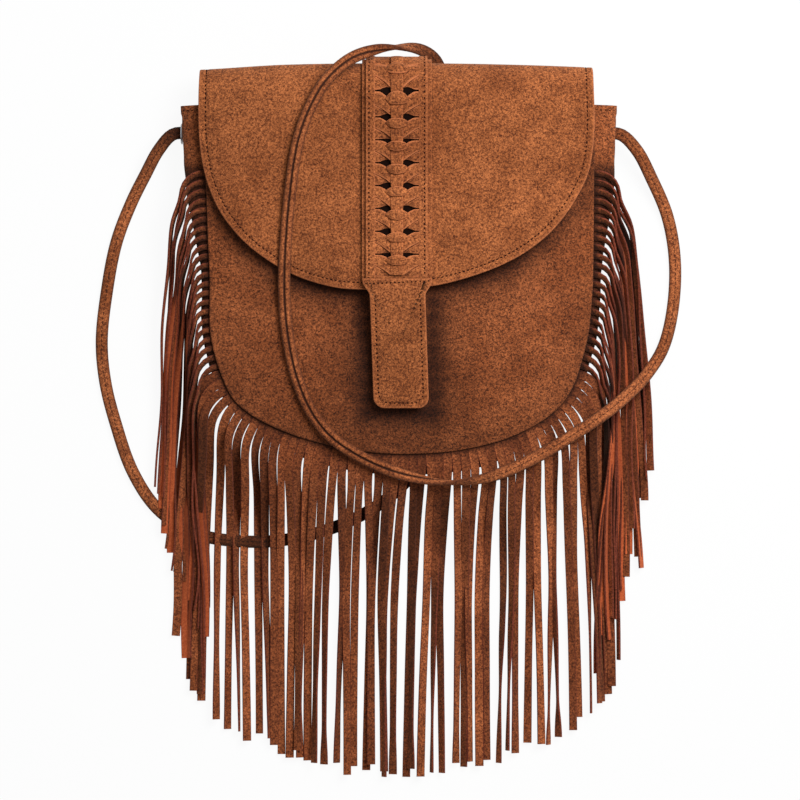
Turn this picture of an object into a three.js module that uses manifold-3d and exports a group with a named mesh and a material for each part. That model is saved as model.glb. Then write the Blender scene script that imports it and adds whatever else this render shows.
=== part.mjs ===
// Fringed suede crossbody bag with a curved flap, a laced band down its middle and a snap tab.
// Millimetres, +Z up. The bag lies on its back: +Y runs to the fold of the flap, +Z leaves the front.
import * as THREE from 'three';
import { mergeVertices } from 'three/addons/utils/BufferGeometryUtils.js';
import Module from 'manifold-3d';

const wasm = await Module();
wasm.setup();

// Driving dimensions: the pouch. The mouth is the line y = 0 until the whole bag is placed.
const pouchHalfWidth = 113;
const pouchDepth = 202;
const sideTaperDegrees = 1.4;
const cornerRadius = 58;
const bottomRadius = 190;
const gussetHeight = 22;
const gussetBulge = 12;
const gussetShoulder = 6;
const gussetCrest = Math.min(13, gussetHeight - gussetShoulder);
const frontFullness = 9;
const fullnessAcross = 2.4;
const fullnessDown = 4;
const mouthDrop = 3;
const hemDepth = 9;
const hemExtra = 1.1;
const seamAllowance = 8;

// Driving dimensions: the layers
const suede = 1.4;
const backing = 0.8;
const cloth = 0.8;
const fringeSuede = 1.2;
const gap = 0.3;
const layGap = 0.5;

// Driving dimensions: the flap, the band and the tab
const flapOverhang = 1;
const flapHalfWidth = pouchHalfWidth + flapOverhang;
const flapCurveDepth = 0.4554 * pouchDepth;
const flapStraight = 15;
const flapFold = 22;
const flapMargin = 18;
const flapTuck = 6;
const flapLiningInset = 1.5;
const foldLength = 62;
const foldSteps = 8;
const bandWidth = 40.6;
const bandEndRise = 6;
const bandEnd = flapStraight + flapCurveDepth - bandEndRise;
const bandWrap = 34;
const slotSpan = 25.5;
const rungCount = 18;
const slotStart = -22.3;
const slotMargin = 3.6;
const thongWidth = 7;
const thongThickness = 1.1;
const tabWidth = 32;
const tabShoulder = 10;
const tabLength = 0.3713 * pouchDepth;
const tabCorner = 7;
const pieceGap = 0.4;

// Driving dimensions: the fringe
const strandLength = 193;
const strandWidth = 4.6;
const strandPitch = 5.4;
const fringeTop = 39;
const sideFringeRun = 0.5594 * pouchDepth;
const bundleInner = 14;
const bundleOuter = 29;
const bundleHeight = 7;
const droopLength = 110;
const laneHalfSpan = pouchHalfWidth + 6;
const strandLeave = 22;
const strandJoin = 48;
const footClearance = 0.3;

// Driving dimensions: the strap, folded flat from a strip
const strapWidth = 7.2;
const strapThickness = 3.4;
const strapSteps = 66;
const tunnelSteps = Math.round(pouchDepth / 22);
const belowFloor = 5;
const tunnelSideRoom = 1.4;
const largestKnot = 4.4;
const thickestKnotRope = 1.7;

// Driving dimensions: the metal
const snapDiameter = 18;
const snapBodyHeight = 1.6;
const snapStudHeight = 0.9;
const snapBossDiameter = 6;
const snapBossReach = 1;
const snapWasherDiameter = 13;
const snapWasherThickness = 0.4;
const snapSetback = 17;
const eyeletBore = strapWidth + 1.2;
const eyeletWall = 0.5;
const eyeletFlange = eyeletBore + 4;
const eyeletFlangeThickness = 0.9;
const eyeletWasherThickness = 0.6;
const eyeletDrop = 16.2;

// Levels that follow from the layers, upwards from the floor
const backTop = suede;
const gussetFoot = backTop + gap;
const gussetMiddle = gussetFoot + gussetHeight / 2;
const gussetTop = gussetFoot + gussetHeight;
const headerFoot = gussetTop + gap;
const frontFoot = headerFoot + fringeSuede + gap;
const flapLiningLift = layGap;
const flapLift = flapLiningLift + backing + gap;
const underLayerLift = flapLift + suede + gap;
const snapWasherGap = 0.25;
const topLayerLift = underLayerLift + backing + 2 * snapWasherGap + snapWasherThickness;
const tunnelHeight = strapThickness + footClearance + gap;
const flapBackLevel = tunnelHeight + suede + gap;
const flapLiningBackLevel = flapBackLevel + suede + gap;
const knotRoom = gussetMiddle - flapLiningBackLevel - backing;
const knotSize = Math.min(largestKnot, 0.98 * knotRoom);
const knotRope = Math.min(thickestKnotRope, 0.38 * knotRoom);

// The strap's route, chosen by hand: out of the left eyelet, round on the floor, under the bag, over the
// fold of the flap, down the front and back to the right eyelet. It was chosen on a pouch of the sizes in
// routeFor, and a pouch of another size moves each point outwards, down or up with what it lies on.
const routeFor = { halfWidth: 113, depth: 202, height: 22, innerReach: 100, lowestReach: 180, floor: 1.9 };
const strapRoute = [
  [-107, -16.2, 12.7], [-118, -16.2, 12.7], [-130, -16.3, 12.7], [-138.5, -25, 10.8], [-147, -40, 6.5],
  [-155.4, -56.3, 2.6], [-164, -79, 1.9], [-169.5, -107, 1.9], [-172.6, -137, 1.9], [-170.5, -160.7, 1.9],
  [-164.7, -184, 1.9], [-154.3, -213.4, 1.9], [-139.8, -234.9, 1.9], [-120, -248.2, 1.9],
  [-98, -253.2, 1.9], [-66.1, -252.9, 1.9], [-34, -244.5, 1.9], [-6, -229, 1.9], [14, -208, 1.9],
  [28, -180, 1.9], [34, -145, 1.9], [35, -100, 1.9], [33, -50, 1.9], [30, -10, 1.9], [27.5, 14, 2.2],
  [22.5, 27, 6.5], [14, 32.5, 14.5], [1, 33.2, 25], [-13, 31, 34], [-27.5, 25, 39.5], [-41.2, 12.5, 41],
  [-51, -4.6, 40.5], [-57.4, -23.8, 40], [-62, -55, 39.5], [-64.6, -88, 38.6], [-65, -112, 36.2],
  [-63, -135, 34.6], [-58, -158, 33.4], [-49.5, -178, 32], [-38, -192.5, 30.6], [-20, -204.5, 29.4],
  [4, -214.5, 28], [30.7, -219, 27.4], [54, -215.5, 27.4], [78, -205.5, 27.4], [104, -190, 27.4],
  [121, -178.5, 27.2], [135, -167, 19.5], [146, -155.5, 10.5], [155.5, -140.5, 3.6], [161, -118.9, 1.9],
  [162.4, -89.9, 1.9], [158, -64, 3.2], [148.5, -42, 8], [139.5, -25.5, 11.8], [130, -16.5, 12.7],
  [118, -16.2, 12.7], [107, -16.2, 12.7],
].map(([x, y, z]) => {
  const outwards = THREE.MathUtils.clamp(x / routeFor.innerReach, -1, 1);
  const down = THREE.MathUtils.clamp((-y - eyeletDrop) / (routeFor.lowestReach - eyeletDrop), 0, 1);
  const up = THREE.MathUtils.clamp((z - routeFor.floor) / (routeFor.height - routeFor.floor + gussetFoot), 0, 1);
  return new THREE.Vector3(
    x + outwards * (pouchHalfWidth - routeFor.halfWidth),
    y - down * (pouchDepth - routeFor.depth),
    z + up * (gussetHeight - routeFor.height),
  );
});
const hiddenRun = [16, 24];
const leftCrossing = 13;

// A curve whose sweep keeps its section level, as a flat strap lies
class LyingCurve extends THREE.CatmullRomCurve3 {
  computeFrenetFrames(segments) {
    const frames = { tangents: [], normals: [], binormals: [] };
    const up = new THREE.Vector3(0, 0, 1);
    for (let i = 0; i <= segments; i++) {
      const tangent = this.getTangentAt(i / segments);
      const level = new THREE.Vector3().crossVectors(up, tangent).normalize();
      frames.tangents.push(tangent);
      frames.normals.push(level);
      frames.binormals.push(new THREE.Vector3().crossVectors(tangent, level));
    }
    return frames;
  }
}

// Turning meshes into solids and back
function positionsOnly(geometry) {
  const bare = geometry.clone();
  bare.deleteAttribute('normal');
  bare.deleteAttribute('uv');
  return mergeVertices(bare, 1e-4);
}

function toSolid(geometry) {
  const merged = positionsOnly(geometry);
  const mesh = new wasm.Mesh({
    numProp: 3,
    vertProperties: Float32Array.from(merged.attributes.position.array),
    triVerts: Uint32Array.from(merged.index.array),
  });
  return new wasm.Manifold(mesh);
}

function fromSolid(solid) {
  const mesh = solid.getMesh();
  const geometry = new THREE.BufferGeometry();
  geometry.setAttribute('position', new THREE.BufferAttribute(mesh.vertProperties, mesh.numProp));
  geometry.setIndex(new THREE.BufferAttribute(mesh.triVerts, 1));
  return geometry;
}

// A closed sheet between two grids of points: its upper face, its lower face and the rim that joins them.
// The last column of a fan is the line where its two halves meet, which has no rim.
function closedSheet(upper, lower, isFan = false) {
  const corners = [];
  const tiny = 1e-4;
  const triangle = (a, b, c) => {
    if (a.distanceTo(b) > tiny && b.distanceTo(c) > tiny && c.distanceTo(a) > tiny) corners.push(a, b, c);
  };
  const quad = (a, b, c, d) => {
    triangle(a, b, c);
    triangle(a, c, d);
  };
  const lastRow = upper.length - 1;
  const lastColumn = upper[0].length - 1;
  for (let r = 0; r < lastRow; r++) {
    for (let c = 0; c < lastColumn; c++) {
      quad(upper[r][c], upper[r][c + 1], upper[r + 1][c + 1], upper[r + 1][c]);
      quad(lower[r][c], lower[r + 1][c], lower[r + 1][c + 1], lower[r][c + 1]);
    }
    quad(upper[r][0], upper[r + 1][0], lower[r + 1][0], lower[r][0]);
    if (!isFan) {
      quad(upper[r + 1][lastColumn], upper[r][lastColumn], lower[r][lastColumn], lower[r + 1][lastColumn]);
    }
  }
  for (let c = 0; c < lastColumn; c++) {
    quad(upper[0][c + 1], upper[0][c], lower[0][c], lower[0][c + 1]);
    quad(upper[lastRow][c], upper[lastRow][c + 1], lower[lastRow][c + 1], lower[lastRow][c]);
  }
  return outward(corners);
}

function outward(corners) {
  let volume = 0;
  for (let i = 0; i < corners.length; i += 3) {
    volume += corners[i].dot(new THREE.Vector3().crossVectors(corners[i + 1], corners[i + 2]));
  }
  if (volume < 0) corners.reverse();
  return positionsOnly(new THREE.BufferGeometry().setFromPoints(corners));
}

function evenly(count, from, to) {
  return Array.from({ length: count + 1 }, (unused, i) => from + ((to - from) * i) / count);
}

// The seam of the pouch: two nearly straight sides, two corner arcs and one long bottom arc
const taper = THREE.MathUtils.degToRad(sideTaperDegrees);
const sideNormal = new THREE.Vector2(Math.cos(taper), -Math.sin(taper));
const bottomCentre = new THREE.Vector2(0, bottomRadius - pouchDepth);
const cornerCentre = findCornerCentre();

function findCornerCentre() {
  const along = new THREE.Vector2(sideNormal.y, -sideNormal.x);
  const start = new THREE.Vector2(pouchHalfWidth, 0).addScaledVector(sideNormal, -cornerRadius);
  const offset = start.clone().sub(bottomCentre);
  const half = offset.dot(along);
  const rest = offset.lengthSq() - (bottomRadius - cornerRadius) ** 2;
  return start.addScaledVector(along, -half + Math.sqrt(half * half - rest));
}

const bottomHalfAngle = Math.atan2(cornerCentre.x, bottomCentre.y - cornerCentre.y);
const seam = makeSeam();

function makeSeam() {
  const path = new THREE.Path();
  const down = -Math.PI / 2;
  path.moveTo(-pouchHalfWidth, 0);
  path.lineTo(
    -cornerCentre.x - cornerRadius * sideNormal.x,
    cornerCentre.y + cornerRadius * sideNormal.y,
  );
  path.absarc(
    -cornerCentre.x, cornerCentre.y, cornerRadius, Math.PI + taper, down - bottomHalfAngle + 2 * Math.PI, false,
  );
  path.absarc(0, bottomCentre.y, bottomRadius, down - bottomHalfAngle, down + bottomHalfAngle, false);
  path.absarc(cornerCentre.x, cornerCentre.y, cornerRadius, down + bottomHalfAngle, -taper, false);
  path.lineTo(pouchHalfWidth, 0);
  return path;
}

const seamLength = seam.getLength();
const seamSteps = 26;

function seamPoint(along, out) {
  const share = THREE.MathUtils.clamp(along / seamLength, 0, 1);
  const point = seam.getPointAt(share);
  const tangent = seam.getTangentAt(share);
  return new THREE.Vector2(point.x + tangent.y * out, point.y - tangent.x * out);
}

// Half the pouch's width at a height, from the same lines and arcs
function halfWidthAt(y) {
  const sideEnd = cornerCentre.y + cornerRadius * sideNormal.y;
  const cornerEnd = cornerCentre.y - cornerRadius * Math.cos(bottomHalfAngle);
  if (y >= sideEnd) return pouchHalfWidth + y * Math.tan(taper);
  if (y >= cornerEnd) return cornerCentre.x + Math.sqrt(cornerRadius ** 2 - (y - cornerCentre.y) ** 2);
  return Math.sqrt(Math.max(0, bottomRadius ** 2 - (y - bottomCentre.y) ** 2));
}

// How far the filled pouch pushes its front out at a point, from none at the seam to all at the middle
function fullnessAt(x, y) {
  const clampedY = THREE.MathUtils.clamp(y, -pouchDepth + 0.01, 0);
  const across = Math.min(1, Math.abs(x) / halfWidthAt(clampedY));
  const down = -clampedY / pouchDepth;
  return (1 - across ** fullnessAcross) * (1 - down ** fullnessDown);
}

function frontTopAt(x, y) {
  return frontFoot + suede + frontFullness * fullnessAt(x, y);
}

// A fan of points over the pouch, from the seam in to the middle line, for every sheet of its shape
const domedShares = [0, 0.06, 0.16, 0.32, 0.6, 1];
const baggyShares = [0, 0.06, 0.16, 1];
const flatShares = [0, 1];

function pouchFan(shares, out, mouth, heightAt) {
  return evenly(seamSteps, 0, seamLength).map((along, i) => {
    const edge = seamPoint(along, out);
    const twin = seamPoint((seamLength * Math.min(i, seamSteps - i)) / seamSteps, out);
    const middle = new THREE.Vector2(0, twin.y * 0.5);
    return shares.map((share) => {
      const flat = share === 1 ? middle : edge.clone().lerp(middle, share);
      const y = mouth + (flat.y * (pouchDepth + out + mouth)) / (pouchDepth + out);
      return new THREE.Vector3(flat.x, y, heightAt(flat.x, y, share));
    });
  });
}

// The tunnel that the strap lies in: its outline grows by the same distance all round for each layer
const strapCurve = new LyingCurve(strapRoute, false, 'centripetal');

function tunnel(growth) {
  const halfWidth = strapWidth / 2 + tunnelSideRoom;
  const height = tunnelHeight;
  const shape = new THREE.Shape();
  shape.moveTo(-(halfWidth + growth), -belowFloor);
  shape.lineTo(halfWidth + growth, -belowFloor);
  if (growth > 0) {
    shape.absarc(halfWidth, height, growth, 0, Math.PI / 2, false);
    shape.absarc(-halfWidth, height, growth, Math.PI / 2, Math.PI, false);
  } else {
    shape.lineTo(halfWidth, height);
    shape.lineTo(-halfWidth, height);
  }
  const hidden = strapRoute.slice(hiddenRun[0], hiddenRun[1] + 1);
  const flat = hidden.map((point) => new THREE.Vector3(point.x, point.y, 0));
  const run = new LyingCurve(flat, false, 'centripetal');
  return toSolid(new THREE.ExtrudeGeometry(shape, {
    steps: tunnelSteps, bevelEnabled: false, curveSegments: 3, extrudePath: run,
  }));
}

function box(minimum, maximum) {
  const size = new THREE.Vector3().subVectors(maximum, minimum);
  const geometry = new THREE.BoxGeometry(size.x, size.y, size.z);
  const middle = new THREE.Vector3().addVectors(minimum, maximum).multiplyScalar(0.5);
  return toSolid(geometry.translate(middle.x, middle.y, middle.z));
}

// A sheet that lies low over the strap is lifted into an arch along it
function liftOverStrap(solid, growth, thickness, keep) {
  const arch = tunnel(growth + thickness).intersect(keep);
  return solid.add(arch).subtract(tunnel(growth));
}

// The back panel: flat on the floor, and arched over the strap that lies beneath it
function makeBackPanel() {
  const slab = (top) => {
    const upper = pouchFan(flatShares, 0, 0, () => top);
    const lower = pouchFan(flatShares, 0, 0, () => 0);
    return toSolid(closedSheet(upper, lower, true));
  };
  return fromSolid(liftOverStrap(slab(backTop), 0, suede, slab(gussetTop)));
}

// The front panel, domed by what the pouch holds
function makeFrontPanel() {
  const upper = pouchFan(domedShares, 0, -mouthDrop, (x, y) => frontTopAt(x, y));
  const lower = pouchFan(domedShares, 0, -mouthDrop, (x, y) => frontTopAt(x, y) - suede);
  return closedSheet(upper, lower, true);
}

// The wall's section: a flat crest between two quarter ellipses that run in to the seams
function wallSection(inward) {
  const crest = gussetCrest / 2;
  const rise = gussetHeight / 2 - crest;
  const reach = gussetBulge + 2;
  const quarter = evenly(3, 0, Math.PI / 2).map((angle) => [
    -2 + (reach - inward) * Math.cos(angle),
    crest + (rise - inward) * Math.sin(angle),
  ]);
  const lowerHalf = quarter.map(([out, high]) => [out, gussetMiddle - high]).reverse();
  const upperHalf = quarter.map(([out, high]) => [out, gussetMiddle + high]);
  return [...lowerHalf, ...upperHalf];
}

function wallRows(inwardAt, first, last) {
  const stations = evenly(seamSteps, 0, seamLength).filter((along) => along > first && along < last);
  const hemLines = [first, first + hemDepth, first + hemDepth + 1, last - hemDepth - 1, last - hemDepth, last];
  const alongs = [...stations, ...hemLines].sort((a, b) => a - b);
  return alongs.map((along) => wallSection(inwardAt(along)).map(([out, high]) => {
    const point = seamPoint(along, out);
    return new THREE.Vector3(point.x, point.y, high);
  }));
}

// The gusset: one strip round the sides and the bottom, hemmed at both ends, with a hole for each eyelet
function makeGusset() {
  const insideAt = (along) => {
    const fromEnd = Math.min(along, seamLength - along);
    return fromEnd <= hemDepth ? suede + hemExtra : suede;
  };
  const strip = toSolid(closedSheet(wallRows(() => 0, 0, seamLength), wallRows(insideAt, 0, seamLength)));
  const barrel = eyeletBore / 2 + eyeletWall + gap;
  return fromSolid(strip.subtract(eyeletHoles(barrel)).subtract(tunnel(suede + gap)));
}

function eyeletHoles(radius) {
  const length = 2 * (pouchHalfWidth + gussetBulge + 20);
  const rod = new THREE.CylinderGeometry(radius, radius, length, 20).rotateZ(Math.PI / 2);
  return toSolid(rod.translate(0, -eyeletDrop, gussetMiddle));
}

// The lining: a thin bag inside the pouch, open at the mouth
function makeLining() {
  const floor = backTop + gap;
  const wallInset = suede + hemExtra + gap;
  const ceilingDrop = suede + gap + snapWasherGap * 2 + snapWasherThickness;
  const bag = (skin, mouth) => {
    const edgeOut = gussetBulge - wallInset - skin;
    const crest = gussetCrest / 2;
    const headroom = gussetHeight / 2 - crest - suede - hemExtra;
    const rim = [crest - 0.4 - skin * 0.2, crest + 0.6 * headroom - skin, crest + 0.8 * headroom - skin];
    const rimAt = (share) => rim[baggyShares.indexOf(share)];
    const upper = pouchFan(baggyShares, edgeOut, mouth, (x, y, share) => {
      const ceiling = frontTopAt(x, y) - ceilingDrop - skin;
      return share === 1 ? ceiling : gussetMiddle + rimAt(share);
    });
    const lower = pouchFan(baggyShares, edgeOut, mouth, (x, y, share) => {
      return share === 1 ? floor + skin : gussetMiddle - rimAt(share);
    });
    return toSolid(closedSheet(upper, lower, true));
  };
  const outside = bag(0, -hemDepth / 2);
  const inside = bag(cloth, -hemDepth / 2 + 5);
  const arch = tunnel(suede + gap + cloth).intersect(outside);
  const shell = outside.subtract(inside).add(arch).subtract(tunnel(suede + gap));
  const marginReach = pouchHalfWidth - 3;
  const marginRoom = box(
    new THREE.Vector3(-marginReach, -flapMargin - gap - 1, -5),
    new THREE.Vector3(marginReach, 50, flapLiningBackLevel + backing + gap),
  );
  return fromSolid(shell.subtract(marginRoom).subtract(eyeletHoles(eyeletBore / 2 + eyeletWall + gap)));
}

// The flap's own coordinates: x across, t along it from the mouth line, lift off the front panel.
// Positive t runs down the front, negative t goes round the fold and then inside the back.
function onFlap(x, t, lift, backLevel) {
  if (t >= 0) return new THREE.Vector3(x, -t, frontTopAt(x, -t) + lift);
  const high = frontTopAt(x, 0) + lift;
  const low = backLevel;
  const middle = (high + low) / 2;
  const angle = (Math.PI * Math.min(foldLength, -t)) / foldLength;
  const beyond = Math.max(0, -t - foldLength);
  const reach = flapFold + lift - flapLift - suede;
  return new THREE.Vector3(x, reach * Math.sin(angle) - beyond, middle + (high - middle) * Math.cos(angle));
}

function flapLayer(lift, thickness, backLevel, inset, columns) {
  const margin = -foldLength - flapMargin;
  const back = evenly(1, margin, -foldLength);
  const fold = evenly(foldSteps, -foldLength, 0).slice(1);
  const front = [flapStraight];
  const curve = evenly(8, 0, Math.PI / 2).slice(1).map(
    (angle) => flapStraight + (flapCurveDepth - inset) * Math.sin(angle),
  );
  const lines = [...back, ...fold, ...front, ...curve];
  const sheet = (height, level) => lines.map((t) => {
    const share = Math.min(1, Math.max(0, (t - flapStraight) / (flapCurveDepth - inset)));
    const tuck = t <= -foldLength ? flapTuck : 0;
    const half = (flapHalfWidth - inset - tuck) * Math.sqrt(1 - share * share);
    return evenly(columns, -half, half).map((x) => onFlap(x, t, height, level));
  });
  return closedSheet(sheet(lift + thickness, backLevel), sheet(lift, backLevel + thickness));
}

function makeFlap() {
  return flapLayer(flapLift, suede, flapBackLevel, 0, 12);
}

function makeFlapLining() {
  return flapLayer(flapLiningLift, backing, flapLiningBackLevel, flapLiningInset, 8);
}

// A sheet on the flap's coordinates: rows at the given t, each from -half to half
function sheetOnFlap(lines, halfAt, columns, liftAt, thickness) {
  const sheet = (extra) => lines.map((t) => {
    const half = halfAt(t);
    return evenly(columns, -half, half).map((x) => onFlap(x, t, liftAt(x, t) + extra, flapBackLevel));
  });
  return closedSheet(sheet(thickness), sheet(0));
}

// The laced band: borders, ends and rungs are one slit strip, and the rungs go over and under the thong
const slotEnd = bandEnd - slotMargin;
const rungPitch = (slotEnd - slotStart) / rungCount;
const firstRung = slotStart + rungPitch / 2;
const thongDip = 0.6;
const rungJoin = 0.8;
const rungShave = 0.1;

function bandLines(from, to) {
  const step = foldLength / foldSteps;
  const stations = evenly(30, -foldLength, -foldLength + 30 * step);
  return [from, ...stations.filter((t) => t > from + 0.5 && t < to - 0.5), to];
}

function bandPlate(left, right, from, to, shave) {
  const sheet = (extra) => bandLines(from, to).map((t) => [left, right].map(
    (x) => onFlap(x, t, topLayerLift + extra, flapBackLevel),
  ));
  return toSolid(closedSheet(sheet(suede - shave), sheet(shave)));
}

function makeRung(index) {
  const isOver = index % 2 === 1;
  const middle = firstRung + index * rungPitch;
  const bow = isOver ? thongThickness + gap - thongDip : -thongDip;
  const halfSpan = slotSpan / 2 + rungJoin;
  const clearOfThong = thongWidth / 2 + 0.7;
  const slope = clearOfThong + 4;
  const stations = [-halfSpan, -slope, -clearOfThong, 0, clearOfThong, slope, halfSpan];
  const halfHeights = [0.47, 0.38, 0.3, 0.27, 0.3, 0.38, 0.47].map((share) => share * rungPitch);
  const bows = [rungShave, rungShave, bow, bow, bow, rungShave, rungShave];
  const sheet = (extra) => [-1, 1].map((side) => stations.map((x, i) => onFlap(
    x, middle + side * halfHeights[i], topLayerLift + bows[i] + extra, flapBackLevel,
  )));
  return toSolid(closedSheet(sheet(suede - 2 * rungShave), sheet(0)));
}

function makeBraidedBand() {
  const half = bandWidth / 2;
  const inner = slotSpan / 2;
  const plates = [
    bandPlate(-half, -inner, -bandWrap, bandEnd, 0),
    bandPlate(inner, half, -bandWrap, bandEnd, 0),
    bandPlate(-inner - rungJoin, inner + rungJoin, -bandWrap + pieceGap, slotStart, rungShave),
    bandPlate(-inner - rungJoin, inner + rungJoin, slotEnd, bandEnd - pieceGap, rungShave),
  ];
  const rungs = Array.from({ length: rungCount }, (unused, i) => makeRung(i));
  return fromSolid([...plates, ...rungs].reduce((whole, piece) => whole.add(piece)));
}

function makeThong() {
  const flat = rungPitch * 0.29;
  const low = topLayerLift - thongDip;
  const lines = [slotStart + gap];
  const lifts = [low];
  for (let i = 0; i < rungCount; i++) {
    const middle = firstRung + i * rungPitch;
    const lift = i % 2 === 1 ? low : topLayerLift + suede - 0.2 - thongDip + gap;
    lines.push(middle - flat, middle + flat);
    lifts.push(lift, lift);
  }
  lines.push(slotEnd - gap);
  lifts.push(low);
  return sheetOnFlap(lines, () => thongWidth / 2, 1, (x, t) => lifts[lines.indexOf(t)], thongThickness);
}

function makeBandBacking() {
  const lines = bandLines(slotStart - 3, slotEnd + 1);
  return sheetOnFlap(lines, () => slotSpan / 2 + 2, 1, () => underLayerLift, backing);
}

// The tab: shoulders as wide as the band, then straight sides and a rounded end
const tabStart = bandEnd + pieceGap;
const tabEnd = tabStart + tabLength;

function makeTabLayer(start, inset, lift, thickness) {
  const cornerLines = evenly(4, 0, Math.PI / 2).map((angle) => tabEnd - tabCorner + tabCorner * Math.sin(angle));
  const lines = [...evenly(4, start, tabStart + tabShoulder), ...evenly(3, tabStart + tabShoulder + 8,
    tabEnd - tabCorner - 8), ...cornerLines];
  const halfAt = (t) => {
    const shoulder = THREE.MathUtils.clamp((t - tabStart) / tabShoulder, 0, 1);
    const straight = THREE.MathUtils.lerp(bandWidth, tabWidth, THREE.MathUtils.smoothstep(shoulder, 0, 1)) / 2;
    const intoCorner = Math.max(0, t - (tabEnd - tabCorner)) / tabCorner;
    return straight - tabCorner * (1 - Math.sqrt(Math.max(0, 1 - intoCorner ** 2))) - inset;
  };
  return sheetOnFlap(lines, halfAt, 4, () => lift, thickness);
}

// The snap under the tab: a socket on the front panel, a stud on the tab, and a washer behind each
const snapAt = new THREE.Vector2(0, -(tabEnd - snapSetback));
const round = 16;

function ring(inner, outer, low, high) {
  const profile = [[inner, low], [outer, low], [outer, high], [inner, high], [inner, low]];
  return new THREE.LatheGeometry(profile.map(([r, h]) => new THREE.Vector2(r, h)), round);
}

function seatOnFront(geometry) {
  const reach = 4;
  const { x, y } = snapAt;
  const surface = (dx, dy) => new THREE.Vector3(x + dx, y + dy, frontTopAt(x + dx, y + dy));
  const across = surface(reach, 0).sub(surface(-reach, 0));
  const along = surface(0, reach).sub(surface(0, -reach));
  const normal = across.cross(along).normalize();
  const upright = new THREE.Vector3(0, 1, 0);
  return geometry
    .applyQuaternion(new THREE.Quaternion().setFromUnitVectors(upright, normal))
    .translate(x, y, frontTopAt(x, y));
}

const snapFoot = gap;
const snapMeet = snapFoot + snapBodyHeight + gap;

function makeSnapSocket() {
  const recess = snapBossDiameter / 2 + gap;
  const floor = snapMeet - snapBossReach - gap * 2;
  const profile = [
    [0, snapFoot], [snapDiameter / 2, snapFoot], [snapDiameter / 2, snapMeet - gap - 0.4],
    [snapDiameter / 2 - 0.6, snapMeet - gap], [recess, snapMeet - gap], [recess, floor], [0, floor],
  ];
  return new THREE.LatheGeometry(profile.map(([r, h]) => new THREE.Vector2(r, h)), round);
}

function makeSnapStud() {
  const top = snapMeet + snapStudHeight;
  const boss = snapBossDiameter / 2;
  const profile = [
    [0, snapMeet - snapBossReach], [boss - 0.4, snapMeet - snapBossReach], [boss, snapMeet - snapBossReach + 0.4],
    [boss, snapMeet], [snapDiameter / 2, snapMeet], [snapDiameter / 2, top], [0, top],
  ];
  return new THREE.LatheGeometry(profile.map(([r, h]) => new THREE.Vector2(r, h)), round);
}

// The eyelets, each with a washer inside the lining
const wallAtEyelet = seamPoint(eyeletDrop, gussetBulge);
const liningOut = gussetBulge - suede - hemExtra - gap - cloth;

function makeEyelet(side) {
  const bore = eyeletBore / 2;
  const outer = eyeletFlange / 2;
  const tail = liningOut - gussetBulge - gap * 2 - eyeletWasherThickness;
  const profile = [
    [bore, tail], [bore + eyeletWall, tail], [bore + eyeletWall, gap], [outer - 0.2, gap],
    [outer, gap + 0.25], [outer - 0.8, gap + eyeletFlangeThickness], [bore + 0.5, gap + eyeletFlangeThickness],
    [bore, gap + 0.4], [bore, tail],
  ];
  const geometry = new THREE.LatheGeometry(profile.map(([r, h]) => new THREE.Vector2(r, h)), round);
  return geometry.rotateZ((-side * Math.PI) / 2).translate(side * -wallAtEyelet.x, -eyeletDrop, gussetMiddle);
}

function makeEyeletWasher(side) {
  const inner = eyeletBore / 2 + eyeletWall + gap;
  const place = liningOut - gussetBulge - gap;
  const outer = Math.min(eyeletFlange, gussetCrest - 0.4) / 2 - 0.4;
  const geometry = ring(inner, outer, place - eyeletWasherThickness, place);
  return geometry.rotateZ((-side * Math.PI) / 2).translate(side * -wallAtEyelet.x, -eyeletDrop, gussetMiddle);
}

// The fringe: three lengths of slit suede, their headers sewn into the front seam
function droopAt(distance) {
  const start = gussetBulge + 1;
  const fall = THREE.MathUtils.smoothstep((distance - start) / (droopLength - start), 0, 1);
  return THREE.MathUtils.lerp(headerFoot, footClearance, fall);
}

const seamSamples = evenly(200, 0, seamLength).map((along) => seamPoint(along, 0));

function distanceOutside(x, y) {
  if (y > -pouchDepth && Math.abs(x) <= halfWidthAt(Math.min(0, y))) return 0;
  const here = new THREE.Vector2(x, y);
  return Math.min(...seamSamples.map((point) => point.distanceTo(here)));
}

const bottomFrom = fringeTop + sideFringeRun + strandPitch;
const bottomRun = seamLength - 2 * bottomFrom;
const bottomStrands = Math.floor(bottomRun / strandPitch);

function strandLine(index) {
  const share = (index + 0.5) / bottomStrands;
  const root = seamPoint(bottomFrom + bottomRun * share, 0);
  const lane = THREE.MathUtils.lerp(-laneHalfSpan, laneHalfSpan, share);
  const leave = seamPoint(bottomFrom + bottomRun * share, strandLeave);
  const joinY = root.y - strandJoin;
  const bend = new THREE.QuadraticBezierCurve(root, new THREE.Vector2(lane, Math.min(leave.y, root.y - 8)),
    new THREE.Vector2(lane, joinY)).getPoints(3);
  const straight = new THREE.Vector2(lane, joinY - strandJoin);
  const tip = new THREE.Vector2(lane, root.y - strandLength + 6);
  return [...bend, straight, tip];
}

function strandEdges(index) {
  const line = strandLine(index);
  return line.map((point, i) => {
    const before = line[Math.max(0, i - 1)];
    const after = line[Math.min(line.length - 1, i + 1)];
    const across = after.clone().sub(before).normalize().multiplyScalar(strandWidth / 2);
    return [
      new THREE.Vector2(point.x + across.y, point.y - across.x),
      new THREE.Vector2(point.x - across.y, point.y + across.x),
    ];
  });
}

function levelPoint(point, rise) {
  return new THREE.Vector3(point.x, point.y, droopAt(distanceOutside(point.x, point.y)) + rise);
}

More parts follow.
